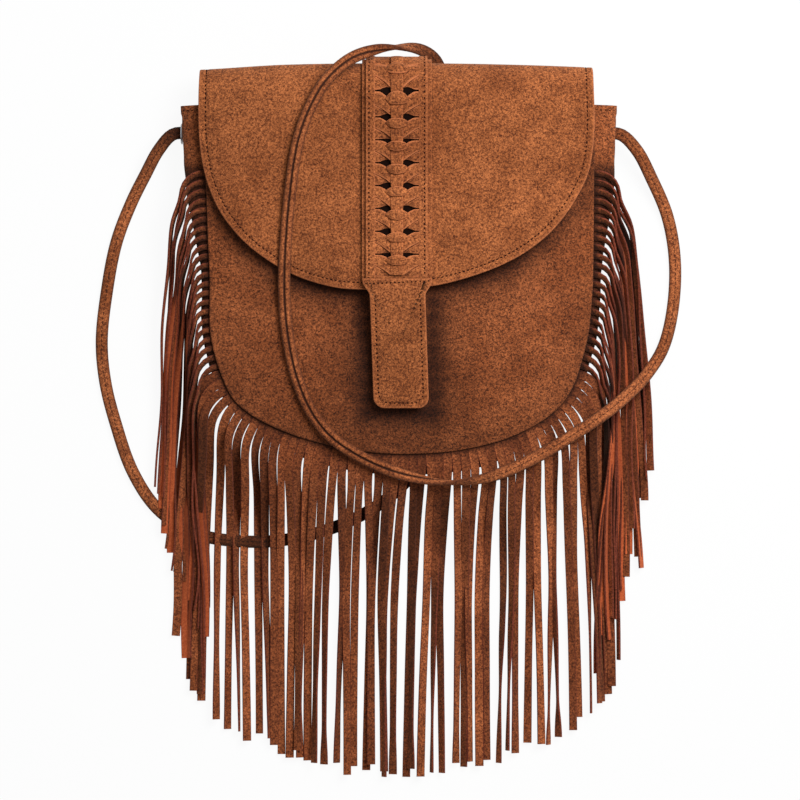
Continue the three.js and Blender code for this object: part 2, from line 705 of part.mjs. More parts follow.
function makeBottomFringe() {
  const bridge = 0.8;
  const stations = evenly(26, bottomFrom, bottomFrom + bottomRun);
  const header = (rise) => stations.map((along) => [-seamAllowance, bridge].map((out) => {
    const point = seamPoint(along, out);
    return new THREE.Vector3(point.x, point.y, headerFoot + rise);
  }));
  let comb = toSolid(closedSheet(header(fringeSuede), header(0)));
  for (let i = 0; i < bottomStrands; i++) {
    const edges = strandEdges(i);
    const strand = (rise) => edges.map((pair) => pair.map((point) => levelPoint(point, rise)));
    comb = comb.add(toSolid(closedSheet(strand(fringeSuede), strand(0))));
  }
  return fromSolid(comb);
}

function makeSideFringe(side) {
  const folds = Math.round(sideFringeRun / strandPitch / 1.5);
  const strapCover = strapThickness + footClearance + gap * 2;
  const crossing = strapRoute[leftCrossing].y;
  const columns = evenly(folds, 0, 1).map((share) => {
    const along = fringeTop + share * sideFringeRun;
    const lane = THREE.MathUtils.lerp(bundleOuter, bundleInner + 3, share);
    const root = seamPoint(along, 0);
    const tipY = root.y - strandLength + 14;
    const laneX = -pouchHalfWidth - lane;
    const place = (out, down, low, thick) => {
      const x = out < bundleInner + 2 ? root.x - out : laneX;
      return { x, y: root.y - down, low, thick };
    };
    const start = [
      place(-seamAllowance, 0, headerFoot, fringeSuede), place(0, 0, headerFoot, fringeSuede),
      place(8, 2, headerFoot - 0.3, fringeSuede), place(bundleInner + 0.5, 7, headerFoot - 4.4, fringeSuede * 2),
      place(lane, 20, headerFoot * 0.45, bundleHeight * 0.8), place(lane, 42, footClearance, bundleHeight),
    ];
    const restAt = (y) => (y < crossing + 23 && y > crossing - 12 ? strapCover : footClearance);
    const run = [30, 21, -8, -16, -strandLength].map((level) => {
      const y = Math.max(tipY, Math.min(crossing + level, root.y - 43));
      return { x: laneX, y, low: restAt(y), thick: bundleHeight };
    });
    return [...start, ...run];
  });
  const mirror = (x) => (side < 0 ? x : -x);
  const upper = columns.map((line) => line.map((p) => new THREE.Vector3(mirror(p.x), p.y, p.low + p.thick)));
  const lower = columns.map((line) => line.map((p) => new THREE.Vector3(mirror(p.x), p.y, p.low)));
  return closedSheet(upper, lower);
}

// The strap and the knot at each end of it
function makeStrap() {
  const section = new THREE.Shape();
  section.absellipse(0, 0, strapWidth / 2, strapThickness / 2, 0, 2 * Math.PI, false);
  return new THREE.ExtrudeGeometry(section, {
    steps: strapSteps, bevelEnabled: false, curveSegments: 4, extrudePath: strapCurve,
  });
}

function makeKnot(side) {
  const reach = knotSize * 1.5 + knotRope + gap;
  const end = strapRoute[0].x;
  const knot = new THREE.TorusKnotGeometry(knotSize, knotRope, 32, 5);
  return knot.translate(side * (-end - reach), -eyeletDrop, gussetMiddle);
}

// The whole bag, each piece in its own colour and finish
const bag = new THREE.Group();

function addPiece(name, geometry, finish) {
  const [color, roughness, metalness] = finish;
  const mesh = new THREE.Mesh(geometry, new THREE.MeshStandardMaterial({ color, roughness, metalness }));
  mesh.name = name;
  bag.add(mesh);
}

const suedeFinish = [0xa56134, 0.92, 0];
const fringeFinish = [0x8f5029, 0.92, 0];
const backingFinish = [0x2b1a12, 0.85, 0];
const clothFinish = [0x6b4a33, 0.8, 0];
const metalFinish = [0xc9c9cc, 0.3, 1];

addPiece('back_panel', makeBackPanel(), suedeFinish);
addPiece('gusset', makeGusset(), suedeFinish);
addPiece('front_panel', makeFrontPanel(), suedeFinish);
addPiece('lining', makeLining(), clothFinish);
addPiece('flap', makeFlap(), suedeFinish);
addPiece('flap_lining', makeFlapLining(), clothFinish);
addPiece('band_backing', makeBandBacking(), backingFinish);
addPiece('braided_band', makeBraidedBand(), suedeFinish);
addPiece('woven_thong', makeThong(), suedeFinish);
addPiece('closure_tab', makeTabLayer(tabStart, 0, topLayerLift, suede), suedeFinish);
addPiece('tab_backing', makeTabLayer(slotEnd + 1 + pieceGap, 1.2, underLayerLift, backing), backingFinish);
addPiece('snap_socket', seatOnFront(makeSnapSocket()), metalFinish);
addPiece('snap_stud', seatOnFront(makeSnapStud()), metalFinish);
const washerFoot = underLayerLift + backing + snapWasherGap;
const washerBore = snapBossDiameter / 2 - 0.5;
addPiece('snap_stud_washer', seatOnFront(
  ring(washerBore, snapWasherDiameter / 2, washerFoot, washerFoot + snapWasherThickness),
), metalFinish);
addPiece('snap_socket_washer', seatOnFront(ring(
  washerBore, snapWasherDiameter / 2, -suede - snapWasherGap - snapWasherThickness, -suede - snapWasherGap,
)), metalFinish);
addPiece('fringe_left', makeSideFringe(-1), fringeFinish);
addPiece('fringe_bottom', makeBottomFringe(), fringeFinish);
addPiece('fringe_right', makeSideFringe(1), fringeFinish);
for (const [word, side] of [['left', -1], ['right', 1]]) {
  addPiece(`eyelet_${word}`, makeEyelet(side), metalFinish);
  addPiece(`eyelet_washer_${word}`, makeEyeletWasher(side), metalFinish);
  addPiece(`strap_knot_${word}`, makeKnot(side), suedeFinish);
}
addPiece('strap', makeStrap(), suedeFinish);

// The bag is placed with the middle of its outline over the origin
bag.position.set(0, 181.8, 0);

export default bag;
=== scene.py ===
import math
import random

import bmesh
import bpy
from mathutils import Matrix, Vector, noise


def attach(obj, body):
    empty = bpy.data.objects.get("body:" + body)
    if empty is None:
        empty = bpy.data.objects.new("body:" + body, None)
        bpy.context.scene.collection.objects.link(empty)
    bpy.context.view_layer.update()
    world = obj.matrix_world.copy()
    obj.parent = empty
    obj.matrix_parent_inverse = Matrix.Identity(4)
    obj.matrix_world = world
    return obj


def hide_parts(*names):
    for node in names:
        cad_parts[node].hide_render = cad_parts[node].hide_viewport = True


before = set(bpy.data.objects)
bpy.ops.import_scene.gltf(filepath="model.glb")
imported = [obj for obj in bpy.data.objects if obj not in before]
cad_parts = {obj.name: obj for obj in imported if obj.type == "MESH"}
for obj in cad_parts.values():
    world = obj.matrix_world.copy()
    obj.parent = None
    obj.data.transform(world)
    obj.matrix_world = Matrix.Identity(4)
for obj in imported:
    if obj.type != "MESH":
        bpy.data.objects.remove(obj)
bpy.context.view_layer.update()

bpy.ops.object.select_all(action="DESELECT")

# Everything below is drawn in millimetres with the mouth of the pouch on y = 0, and moved up by mouthLine
mm = 0.001
mouthLine = 181.8


def toRow(p):
    return Vector((p[0] * mm, (p[1] + mouthLine) * mm, p[2] * mm))


def fromRow(p):
    return p.x / mm, p.y / mm - mouthLine, p.z / mm


def smooth(a, b, x):
    s = min(1.0, max(0.0, (x - a) / (b - a)))
    return s * s * (3 - 2 * s)


def mix(a, b, s):
    return a + (b - a) * s


def bell(x, middle, width):
    return math.exp(-(((x - middle) / width) ** 2))


def wobble(x, y, seed, size):
    return noise.noise(Vector((x / size, y / size, seed * 7.31)))


# ---- camera: looks straight down on the bag
print("camera")
view = dict(middle=(1.74, -171.1), width=464.0, height=2600.0, focusLevel=22.0, sensor=36.0, clipEnd=20)
bpy.ops.object.camera_add(location=toRow((*view["middle"], view["height"])))
camera = bpy.context.object
camera.name = "camera"
camera.data.lens = view["sensor"] * (view["height"] - view["focusLevel"]) / view["width"]
camera.data.sensor_width = view["sensor"]
camera.data.clip_end = view["clipEnd"]
bpy.context.scene.camera = camera


# ---- meshes from points
def newPiece(name, points, faces):
    mesh = bpy.data.meshes.new(name)
    mesh.from_pydata([toRow(p) for p in points], [], faces)
    mesh.update()
    piece = bpy.data.objects.new(name, mesh)
    bpy.context.scene.collection.objects.link(piece)
    return piece


def setValues(piece, name, values, domain="POINT"):
    # the suede reads three: shade, painted shade where something covers it, edge, where it is cut, lightened
    # partly as the raw edge and partly as painted highlight, and tint, one a strand
    piece.data.attributes.new(name, "FLOAT", domain).data.foreach_set("value", values)


def darken(piece, darkAt):
    setValues(piece, "shade", [darkAt(*fromRow(v.co)) for v in piece.data.vertices])


def layUv(piece, name, corners):
    # corners holds the (u, v) of every corner, face by face
    layer = piece.data.uv_layers.new(name=name)
    for poly, places in zip(piece.data.polygons, corners):
        for loop, place in zip(poly.loop_indices, places):
            layer.data[loop].uv = place


def mendMesh(piece, doubles=0.0):
    # merges points that lie closer than doubles, and turns the faces outwards
    work = bmesh.new()
    work.from_mesh(piece.data)
    if doubles:
        bmesh.ops.remove_doubles(work, verts=work.verts, dist=doubles)
        bmesh.ops.dissolve_degenerate(work, edges=work.edges, dist=doubles)
    bmesh.ops.recalc_face_normals(work, faces=work.faces)
    if work.calc_volume(signed=True) < 0:
        bmesh.ops.reverse_faces(work, faces=work.faces)
    work.to_mesh(piece.data)
    work.free()
    return piece


def selectOnly(*pieces):
    bpy.ops.object.select_all(action="DESELECT")
    for piece in pieces:
        piece.select_set(True)
    bpy.context.view_layer.objects.active = pieces[0]


def shadeSmooth(piece, angle=None):
    selectOnly(piece)
    if angle is None:
        bpy.ops.object.shade_smooth()
    else:
        bpy.ops.object.shade_smooth_by_angle(angle=math.radians(angle))
    return piece


def fit(piece, node=None):
    # the bag is one body, so every piece rides on it
    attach(piece, "root")
    if node:
        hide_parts(node)


# ---- lines
def lineLength(points):
    return sum((Vector(b) - Vector(a)).length for a, b in zip(points, points[1:]))


def hermite(p1, m1, p2, m2, s):
    # from p1 to p2, leaving at the slope m1 and coming in at m2
    return (p1 * (2 * s ** 3 - 3 * s ** 2 + 1) + m1 * (s ** 3 - 2 * s ** 2 + s)
            + p2 * (-2 * s ** 3 + 3 * s ** 2) + m2 * (s ** 3 - s ** 2))


def resample(line, count):
    lengths = [0.0]
    for a, b in zip(line, line[1:]):
        lengths.append(lengths[-1] + (b - a).length)
    out, j = [], 0
    for i in range(count + 1):
        want = lengths[-1] * i / count
        while j < len(line) - 2 and lengths[j + 1] < want:
            j += 1
        share = (want - lengths[j]) / max(1e-9, lengths[j + 1] - lengths[j])
        out.append(line[j].lerp(line[j + 1], min(1.0, share)))
    return out


def along(points, spacing, steps=16):
    # a smooth line through the points, in even steps; points without a height lie at 0
    pts = [Vector((*p, 0)[:3]) for p in points]
    pts = [pts[0] * 2 - pts[1]] + pts + [pts[-1] * 2 - pts[-2]]
    dense = []
    for p0, p1, p2, p3 in zip(pts, pts[1:], pts[2:], pts[3:]):
        k0, k1, k2 = (max(1e-6, (b - a).length ** 0.5) for a, b in ((p0, p1), (p1, p2), (p2, p3)))
        m1 = (p1 - p0) / k0 - (p2 - p0) / (k0 + k1) + (p2 - p1) / k1
        m2 = (p2 - p1) / k1 - (p3 - p1) / (k1 + k2) + (p3 - p2) / k2
        dense += [hermite(p1, m1 * k1, p2, m2 * k1, j / steps) for j in range(steps)]
    dense.append(pts[-2])
    return resample(dense, max(2, round(lineLength(dense) / spacing)))


def straight(a, b, y, count):
    return [Vector((mix(a, b, k / count), y, 0)) for k in range(count + 1)]


def valueAt(table, x):
    # a value between the rows of a table of (place, value)
    if x <= table[0][0]:
        return table[0][1]
    for (x0, y0), (x1, y1) in zip(table, table[1:]):
        if x <= x1:
            return mix(y0, y1, smooth(x0, x1, x))
    return table[-1][1]


# ---- tubes, sheets and shells
def tube(rings, sides, closed=False, caps=True):
    # the faces between rings of points, and its two ends
    faces = []
    for i in range(rings if closed else rings - 1):
        a, b = i * sides, (i + 1) % rings * sides
        for j in range(sides):
            k = (j + 1) % sides
            faces.append((a + j, a + k, b + k, b + j))
    if caps and not closed:
        faces.append(tuple(range(sides)))
        faces.append(tuple((rings - 1) * sides + j for j in reversed(range(sides))))
    return faces


def carry(line, i, roll, section, closed=False):
    # the section set square on the line's point i and rolled
    n = len(line)
    before = line[(i - 1) % n] if closed else line[max(0, i - 1)]
    after = line[(i + 1) % n] if closed else line[min(n - 1, i + 1)]
    tangent = (after - before).normalized()
    side = tangent.cross(Vector((0, 0, 1)))
    side = side.normalized() if side.length > 1e-4 else Vector((1, 0, 0))
    high = side.cross(tangent)
    c, s = math.cos(roll), math.sin(roll)
    return [line[i] + side * (a * c - b * s) + high * (a * s + b * c) for a, b in section]


def sweep(name, line, section, rollAt, closed=False):
    # the section carried along the line, level at roll 0, with u round it and v along it
    n, m = len(line), len(section)
    points, corners = [], []
    step = lineLength(line) / (n - 1) * mm
    for i in range(n):
        points += carry(line, i, rollAt(i / (n - 1)), section, closed)
        v0, v1 = i * step, (i + 1) * step
        if closed or i < n - 1:
            corners += [((j / m, v0), ((j + 1) / m, v0), ((j + 1) / m, v1), (j / m, v1)) for j in range(m)]
    piece = newPiece(name, points, tube(n, m, closed))
    layUv(piece, "run", corners)
    return shadeSmooth(mendMesh(piece))


def gather(parts):
    # joins parts that are each a list of points, one of faces, and more lists of values
    joined = [[] for _ in parts[0]]
    for part in parts:
        shift = len(joined[0])
        for k, values in enumerate(part):
            joined[k] += [tuple(i + shift for i in face) for face in values] if k == 1 else values
    return joined


def areaOf(outline):
    return sum(a.x * b.y - b.x * a.y for a, b in zip(outline, outline[1:] + outline[:1])) / 2


def inset(outline, distance):
    # the closed outline drawn in
    inwards = math.copysign(1, areaOf(outline))
    out = []
    for i, p in enumerate(outline):
        run = outline[(i + 1) % len(outline)] - outline[i - 1]
        out.append(p + Vector((-run.y, run.x, 0)).normalized() * inwards * distance)
    return out


sheetMesh = dict(
    doubles=0.00001,
    near=[0, 0.12, 0.35, 0.7, 1.1, 1.6, 2.2, 2.8, 3.3, 3.7, 4.1, 4.5, 4.9, 5.4, 6.0, 6.8, 7.8],
    closeIn=40,  # how far from the edge its middle counts as
    cutEdgeAndHighlight=(0.4, 1.3),  # where the lighter cut edge, partly painted highlight, fades out
    bevelSteps=2,
    bevelAngle=45,
    smoothAngle=50,
)


def layer(name, outline, middle, place, thick, edge=0.7, inner=22, groove=None, near=sheetMesh["near"]):
    # a sheet inside a closed outline: rings follow the edge, then close in on the middle; edge is its rounding,
    # and groove is the stitched line's distance from the edge, depth and width
    rings = [(inset(outline, d), d) for d in near]
    start, centre = rings[-1][0], Vector((*middle, 0))
    for k in range(1, inner + 1):
        rings.append(([p.lerp(centre, k / inner) for p in start], near[-1] + sheetMesh["closeIn"] * k / inner))
    points, edges = [], []
    for side, chain in ((-1, rings[:0:-1]), (1, rings)):
        for ring, d in chain:
            bow = math.sqrt(max(0.0, 1 - (1 - min(d / edge, 1)) ** 2))
            high = thick * (0.5 + 0.5 * side * bow)
            if side > 0 and groove:
                high -= groove[1] * bell(d, groove[0], groove[2])
            points += [place(p.x, p.y, high) for p in ring]
            # the lighter rim near the cut edge, partly the raw edge and partly painted highlight
            edges += [1 - smooth(*sheetMesh["cutEdgeAndHighlight"], d)] * len(ring)
    piece = newPiece(name, points, tube(2 * len(rings) - 1, len(outline), caps=False))
    setValues(piece, "edge", edges)
    return shadeSmooth(mendMesh(piece, sheetMesh["doubles"]))


def shell(name, outer, inner, bevel=0.0, cut=0.3):
    # a closed sheet between two grids of points; cut is how light its long edges are, partly the raw edge and
    # partly painted highlight
    rows, cols = len(outer), len(outer[0])
    shift = rows * cols
    faces = []
    for r in range(rows - 1):
        for a in range(r * cols, (r + 1) * cols - 1):
            b = a + cols
            faces += [(a, a + 1, b + 1, b), (shift + b, shift + b + 1, shift + a + 1, shift + a)]
    rim = list(range(cols)) + [r * cols + cols - 1 for r in range(1, rows)]
    rim += list(range(shift - 2, shift - cols - 1, -1)) + [r * cols for r in range(rows - 2, 0, -1)]
    faces += [(a, shift + a, shift + b, b) for a, b in zip(rim, rim[1:] + rim[:1])]
    piece = newPiece(name, [p for row in outer + inner for p in row], faces)
    setValues(piece, "edge", 2 * [cut * (c in (0, cols - 1)) for _ in range(rows) for c in range(cols)])
    mendMesh(piece, sheetMesh["doubles"])
    if bevel:
        modifier = piece.modifiers.new("edge", "BEVEL")
        modifier.width = bevel * mm
        modifier.segments = sheetMesh["bevelSteps"]
        modifier.limit_method = "ANGLE"
        modifier.angle_limit = math.radians(sheetMesh["bevelAngle"])
        selectOnly(piece)
        bpy.ops.object.modifier_apply(modifier=modifier.name)
    return shadeSmooth(piece, sheetMesh["smoothAngle"])


# ---- strap: one narrow strip folded to its middle, from eyelet to eyelet
print("strap")
strap = dict(
    width=7.2,
    thick=3.2,
    length=1.36,
    groove=1.0,
    grooveWidth=0.1,
    sway=0.1,
    clearance=0.05,
    step=2.4,
    pointGap=0.02,  # about the share of the strap between two points of the route
    # which face is up: 0 the seam, 1 the stitched back, by the number of the route's point
    faceUp=[(0, 1), (24.6, 1), (28.6, 0), (40, 0), (44, 1), (57, 1)],
    # how dark it is where the bag shades it, by the same numbers
    dark=[(0, 1), (1.2, 1), (3.2, 0.25), (5, 0), (12.5, 0), (14, 0.8), (16, 0.95), (25, 0.7), (27.5, 0),
          (54, 0), (55.8, 1), (57, 1)],
)
strapRoute = [
    (-107, -16.2, 12.7), (-118, -16.2, 12.7), (-130, -16.3, 12.7), (-138.5, -25, 10.8), (-147, -40, 6.5),
    (-155.4, -56.3, 2.6), (-164, -79, 1.9), (-169.5, -107, 1.9), (-172.6, -137, 1.9), (-170.5, -160.7, 1.9),
    (-164.7, -184, 1.9), (-154.3, -213.4, 1.9), (-139.8, -234.9, 1.9), (-120, -248.2, 1.9),
    (-98, -253.2, 1.9), (-66.1, -252.9, 1.9), (-34, -244.5, 1.9), (-6, -229, 1.9), (14, -208, 1.9),
    (28, -180, 1.9), (34, -145, 1.9), (35, -100, 1.9), (33, -50, 1.9), (30, -10, 1.9), (27.5, 14, 2.2),
    (22.5, 27, 6.5), (14, 32.5, 14.5), (1, 33.2, 25), (-13, 31, 34), (-27.5, 25, 39.5), (-41.2, 12.5, 41),
    (-51, -4.6, 40.5), (-57.4, -23.8, 40), (-62, -55, 39.5), (-64.6, -88, 38.6), (-65, -112, 36.2),
    (-63, -135, 34.6), (-58, -158, 33.4), (-49.5, -178, 32), (-38, -192.5, 30.6), (-20, -204.5, 29.4),
    (4, -214.5, 28), (30.7, -219, 27.4), (54, -215.5, 27.4), (78, -205.5, 27.4), (104, -190, 27.4),
    (121, -178.5, 27.2), (135, -167, 19.5), (146, -155.5, 10.5), (155.5, -140.5, 3.6), (161, -118.9, 1.9),
    (162.4, -89.9, 1.9), (158, -64, 3.2), (148.5, -42, 8), (139.5, -25.5, 11.8), (130, -16.5, 12.7),
    (118, -16.2, 12.7), (107, -16.2, 12.7),
]
strapLine = along(strapRoute, strap["step"])
strapEnd = len(strapLine) - 1
strapShare = [lineLength(strapRoute[:i + 1]) / lineLength(strapRoute) for i in range(len(strapRoute))]


def alongRoute(table, share):
    # the table's places are numbers of the route's points
    return valueAt([(strapShare[int(i)] + (i - int(i)) * strap["pointGap"], v) for i, v in table], share)


def strapRoll(share):
    return math.pi * alongRoute(strap["faceUp"], share) + strap["sway"] * math.sin(share * 40)


def strapSection():
    # two rolls that meet in a groove on the seam side, over a flatter back
    half, high = strap["width"] / 2, strap["thick"] / 2
    curve = [(a, high * (1 - a ** 3.2) ** 0.6) for a in (0.0, 0.1, 0.2, 0.38, 0.58, 0.78, 0.93, 1.0)]
    right = []
    for a, rise in curve:
        rise *= 0.86 + 0.14 * math.sin(math.pi * min(1, a * 1.1))
        right.append((a * half, rise - strap["groove"] * bell(a, 0, strap["grooveWidth"])))
    right += [(a * half, -rise * 0.9) for a, rise in reversed(curve[:-1])]
    return right + [(-x, z) for x, z in reversed(right[1:-1])]


strapDark = []
for i, p in enumerate(strapLine):
    # it never sinks into the floor where it turns over
    roll = strapRoll(i / strapEnd)
    reach = strap["width"] / 2 * abs(math.sin(roll)) + strap["thick"] / 2 * abs(math.cos(roll))
    p.z = max(p.z, reach + strap["clearance"])
    strapDark += [alongRoute(strap["dark"], i / strapEnd)] * len(strapSection())
strapPiece = sweep("strapRun", strapLine, strapSection(), strapRoll)
setValues(strapPiece, "shade", strapDark)
fit(strapPiece, "strap")
print("  strap length", round(lineLength(strapLine), 1), "mm")

knot = dict(at=98.3, bore=(-16.2, 12.7), size=(2.5, 2.3, 2.1), bight=1.6, steps=90,
            width=4.2, thick=3.0, sides=12)


def knotLine(side):
    # a stopper knot of the same strip, pulled tight against the washer
    middle = (-side * knot["at"], *knot["bore"])
    out = []
    for k in range(knot["steps"]):
        a = 2 * math.pi * k / knot["steps"]
        turns = (math.cos(3 * a), math.sin(a) + knot["bight"] * math.sin(2 * a),
                 math.cos(a) - knot["bight"] * math.cos(2 * a))
        out.append(Vector([m + s * t for m, s, t in zip(middle, knot["size"], turns)]))
    return out


knotTurns = [2 * math.pi * k / knot["sides"] for k in range(knot["sides"])]
knotSection = [(knot["width"] / 2 * math.cos(a), knot["thick"] / 2 * math.sin(a)) for a in knotTurns]
knotLeft = sweep("knotLeft", knotLine(1), knotSection, lambda s: 0.0, closed=True)
knotRight = sweep("knotRight", knotLine(-1), knotSection, lambda s: 0.0, closed=True)
fit(knotLeft, "strap_knot_left")
fit(knotRight, "strap_knot_right")
toRow((-126, -16.2, 12.7))
[toRow(p) for p in strapLine]

# ---- the pouch: its seam as the photograph shows it, and the height of its front
print("pouch")
pouch = dict(depth=202.0, frontFoot=25.5, suede=1.4, fullness=9.0, gussetFoot=1.7, gussetHeight=22.0,
             bulge=12.0, crest=13.0, tuck=7.0, sink=0.4, ripple=0.55)
hem = dict(fullTo=5.2, gone=6.0, outwards=0.5, inwards=1.1, pinchAt=5.6, pinch=0.35, pinchWidth=0.6,
           stitchAt=2.9)
wallMiddle = pouch["gussetFoot"] + pouch["gussetHeight"] / 2
seamTrace = [
    (-113.0, 0), (-112.2, -20), (-110.8, -43.5), (-109.6, -78.3), (-108.5, -101.5), (-108.3, -130.5),
    (-105.6, -145), (-99.2, -163), (-94, -171.7), (-83.5, -180.4), (-70.2, -187.3), (-55.7, -192.9),
    (-41.2, -196.8), (-22, -200.7), (-0.6, -202.4), (20.9, -201.9), (40, -199.6), (59.5, -194.9),
    (71, -190.4), (83.5, -183.6), (92.6, -176.5), (98.5, -169.5), (103.3, -160.2), (107.6, -146.6),
    (110.8, -133.4), (112.7, -116), (113.5, -101.5), (114.3, -34.2), (115.2, 0),
]
mouthEnds = (115.2, -113)
seamLine = along(seamTrace, 1.5)
seamLength = lineLength(seamLine)
seamNormals = []
for i in range(len(seamLine)):
    run = seamLine[min(len(seamLine) - 1, i + 1)] - seamLine[max(0, i - 1)]
    seamNormals.append(Vector((run.y, -run.x, 0)).normalized())


def seamAt(distance, out=0.0):
    place = min(1.0, max(0.0, distance / seamLength)) * (len(seamLine) - 1)
    i = min(len(seamLine) - 2, int(place))
    n = seamNormals[i].lerp(seamNormals[i + 1], place - i).normalized()
    return seamLine[i].lerp(seamLine[i + 1], place - i) + n * out, n


# the pouch's half width: a straight side down to sideEnd, a corner of cornerR down to cornerEnd, a low arc
rim = dict(mouth=113, slope=0.02444, sideEnd=-132.5, cornerX=51.6, cornerY=-133.9, cornerR=58.0,
           cornerEnd=-187.1, arcY=-12, arcR=190.0)


def halfWidthAt(y):
    if y > rim["sideEnd"]:
        return rim["mouth"] + y * rim["slope"]
    if y > rim["cornerEnd"]:
        return rim["cornerX"] + math.sqrt(max(0.0, rim["cornerR"] ** 2 - (y - rim["cornerY"]) ** 2))
    return math.sqrt(max(0.0, rim["arcR"] ** 2 - (y - rim["arcY"]) ** 2))


def fullnessAt(x, y):
    # 1 at the middle of the mouth, and 0 at the seam
    y = max(-pouch["depth"] + 0.01, min(0.0, y))
    across = min(1.0, abs(x) / halfWidthAt(y))
    return (1 - across ** 2.4) * (1 - (-y / pouch["depth"]) ** 4)


def frontTop(x, y):
    return pouch["frontFoot"] + pouch["suede"] + pouch["fullness"] * fullnessAt(x, y)


frontLumps = [(-30, -60, 1.4, 46), (52, -120, 1.0, 38), (-70, -140, 1.6, 36), (20, -165, 1.2, 40)]


def onFront(x, y, high):
    full = fullnessAt(x, y)
    lump = sum(h * math.exp(-((x - a) ** 2 + (y - b) ** 2) / (2 * w * w)) for a, b, h, w in frontLumps)
    soft = 0.7 * wobble(x, y, 1, 42) + 0.3 * wobble(x, y, 2, 17)
    return x, y, frontTop(x, y) - pouch["suede"] + high + (lump * full + soft) * full ** 0.5 - pouch["sink"]


frontOutline = [p for p in along(seamTrace, 2.2) if p.y < -4] + straight(*mouthEnds, -3, 60)
frontPanel = layer("frontPanel", frontOutline, (0, -95), onFront, pouch["suede"], edge=0.9, inner=40)
flapReach = [
    (-114, 21), (-109, 47.6), (-102.4, 62), (-93.6, 74), (-84.6, 83), (-69, 94), (-53.5, 101.4), (-34, 106),
    (-20, 108), (-16.5, 178), (20, 178), (21, 106), (40, 100.9), (59, 94), (74, 86), (88.2, 74.8),
    (98, 63.2), (105.6, 51), (114, 28),
]
flapReach = [(mix(a, c, k / 8), mix(b, d, k / 8)) for (a, b), (c, d) in zip(flapReach, flapReach[1:])
             for k in range(8)]
frontShade = dict(near=0.6, nearWidth=9, wide=0.36, wideWidth=24, rim=0.35)


def frontDark(x, y, z):
    # the front is darker where the flap and the tab keep the light from it, and at its rim
    below = min(math.hypot(x - a, -y - b) for a, b in flapReach)
    near = frontShade["near"] * bell(below, 0, frontShade["nearWidth"])
    wide = frontShade["wide"] * bell(below, 0, frontShade["wideWidth"]) * smooth(108, 60, abs(x))
    return near + wide + frontShade["rim"] * (1 - fullnessAt(x, y)) ** 5 * smooth(70, 150, -y)


darken(frontPanel, frontDark)
fit(frontPanel, "front_panel")

# ---- gusset: one strip round the sides and the bottom, hemmed at both ends of the mouth
print("gusset")


def tuck(distance):
    # the wall is drawn in under the side strands, and full again at the bottom
    fromEnd = min(distance, seamLength - distance)
    return pouch["tuck"] * (smooth(42, 100, fromEnd) - smooth(190, 235, fromEnd))


def wallSection(inward, distance=0.0):
    # the wall from the back's seam out and up to the front's, as (out, height)
    crest = pouch["crest"] / 2
    rise = pouch["gussetHeight"] / 2 - crest - inward
    reach = pouch["bulge"] + 2 - tuck(distance) - inward
    upper = [(reach - 2, crest * s) for s in (0.33, 0.66)]
    for k in range(7):
        a = math.pi / 2 * k / 6
        upper.append((-2 + reach * math.cos(a), crest + rise * math.sin(a)))
    lower = [(out, wallMiddle - h) for out, h in reversed(upper)]
    return lower + [(reach - 2, wallMiddle)] + [(out, wallMiddle + h) for out, h in upper]


def wallGrid(inside):
    rows = []
    steps = 260
    for i in range(steps + 1):
        d = seamLength * i / steps
        fromEnd = min(d, seamLength - d)
        hemmed = 1.0 - smooth(hem["fullTo"], hem["gone"], fromEnd)
        pinch = 0 if inside else hem["pinch"] * bell(fromEnd, hem["pinchAt"], hem["pinchWidth"])
        row = []
        for out, high in wallSection(inside + (hem["inwards"] if inside else -hem["outwards"]) * hemmed, d):
            ripple = pouch["ripple"] * wobble(d, high * 2.2, 5, 11) * smooth(0, 6, out + 2)
            p, _ = seamAt(d, out + ripple - pinch)
            row.append((p.x, p.y, high))
        rows.append(row)
    return rows


def wallShade(x, y, z):
    # painted shade: the wall is dark between the strands that leave the seam above it
    return smooth(-30, -40, y) * smooth(3, 14, z) * 0.9


gusset = shell("gussetStrip", wallGrid(0.0), wallGrid(pouch["suede"]))
darken(gusset, wallShade)
fit(gusset, "gusset")

# ---- back panel: flat on the floor and lifted over the strap beneath it
print("back")
back = dict(foot=0.02, settle=0.15, thick=1.35, archRise=4.3, archFlat=4.6, archFoot=9.5)
hiddenStrap = [p for p in strapLine if p.z < 2.4 and -15 < p.x < 40 and p.y > -235]


def archAt(x, y):
    near = min((p.x - x) ** 2 + (p.y - y) ** 2 for p in hiddenStrap)
    return back["archRise"] * (1 - smooth(back["archFlat"], back["archFoot"], math.sqrt(near)))


def onBack(x, y, high):
    return x, y, back["foot"] + high + archAt(x, y) + back["settle"] * (1 - high / pouch["suede"])


backPanel = layer("backPanel", along(seamTrace, 3.0) + straight(*mouthEnds, 0, 60)[1:-1], (-20, -95), onBack,
                  back["thick"], inner=60, near=[0, 0.2, 0.7, 1.6, 3, 5, 7.5])
fit(backPanel, "back_panel")

# ---- lining: a thin cloth bag inside the pouch, open at the mouth
print("lining")
liner = dict(thick=0.8, out=8.4, floor=2.1, lowest=2.0, mouth=-4.5, underFront=3.4)
linerShares = [0, 0.02, 0.05, 0.1, 0.18, 0.3, 0.45, 0.62, 0.8, 1.0]
linerRims = {0: 0.0, 0.02: 3.4, 0.05: 5.2, 0.1: 6.8}  # its first rows' distance from the wall's middle height


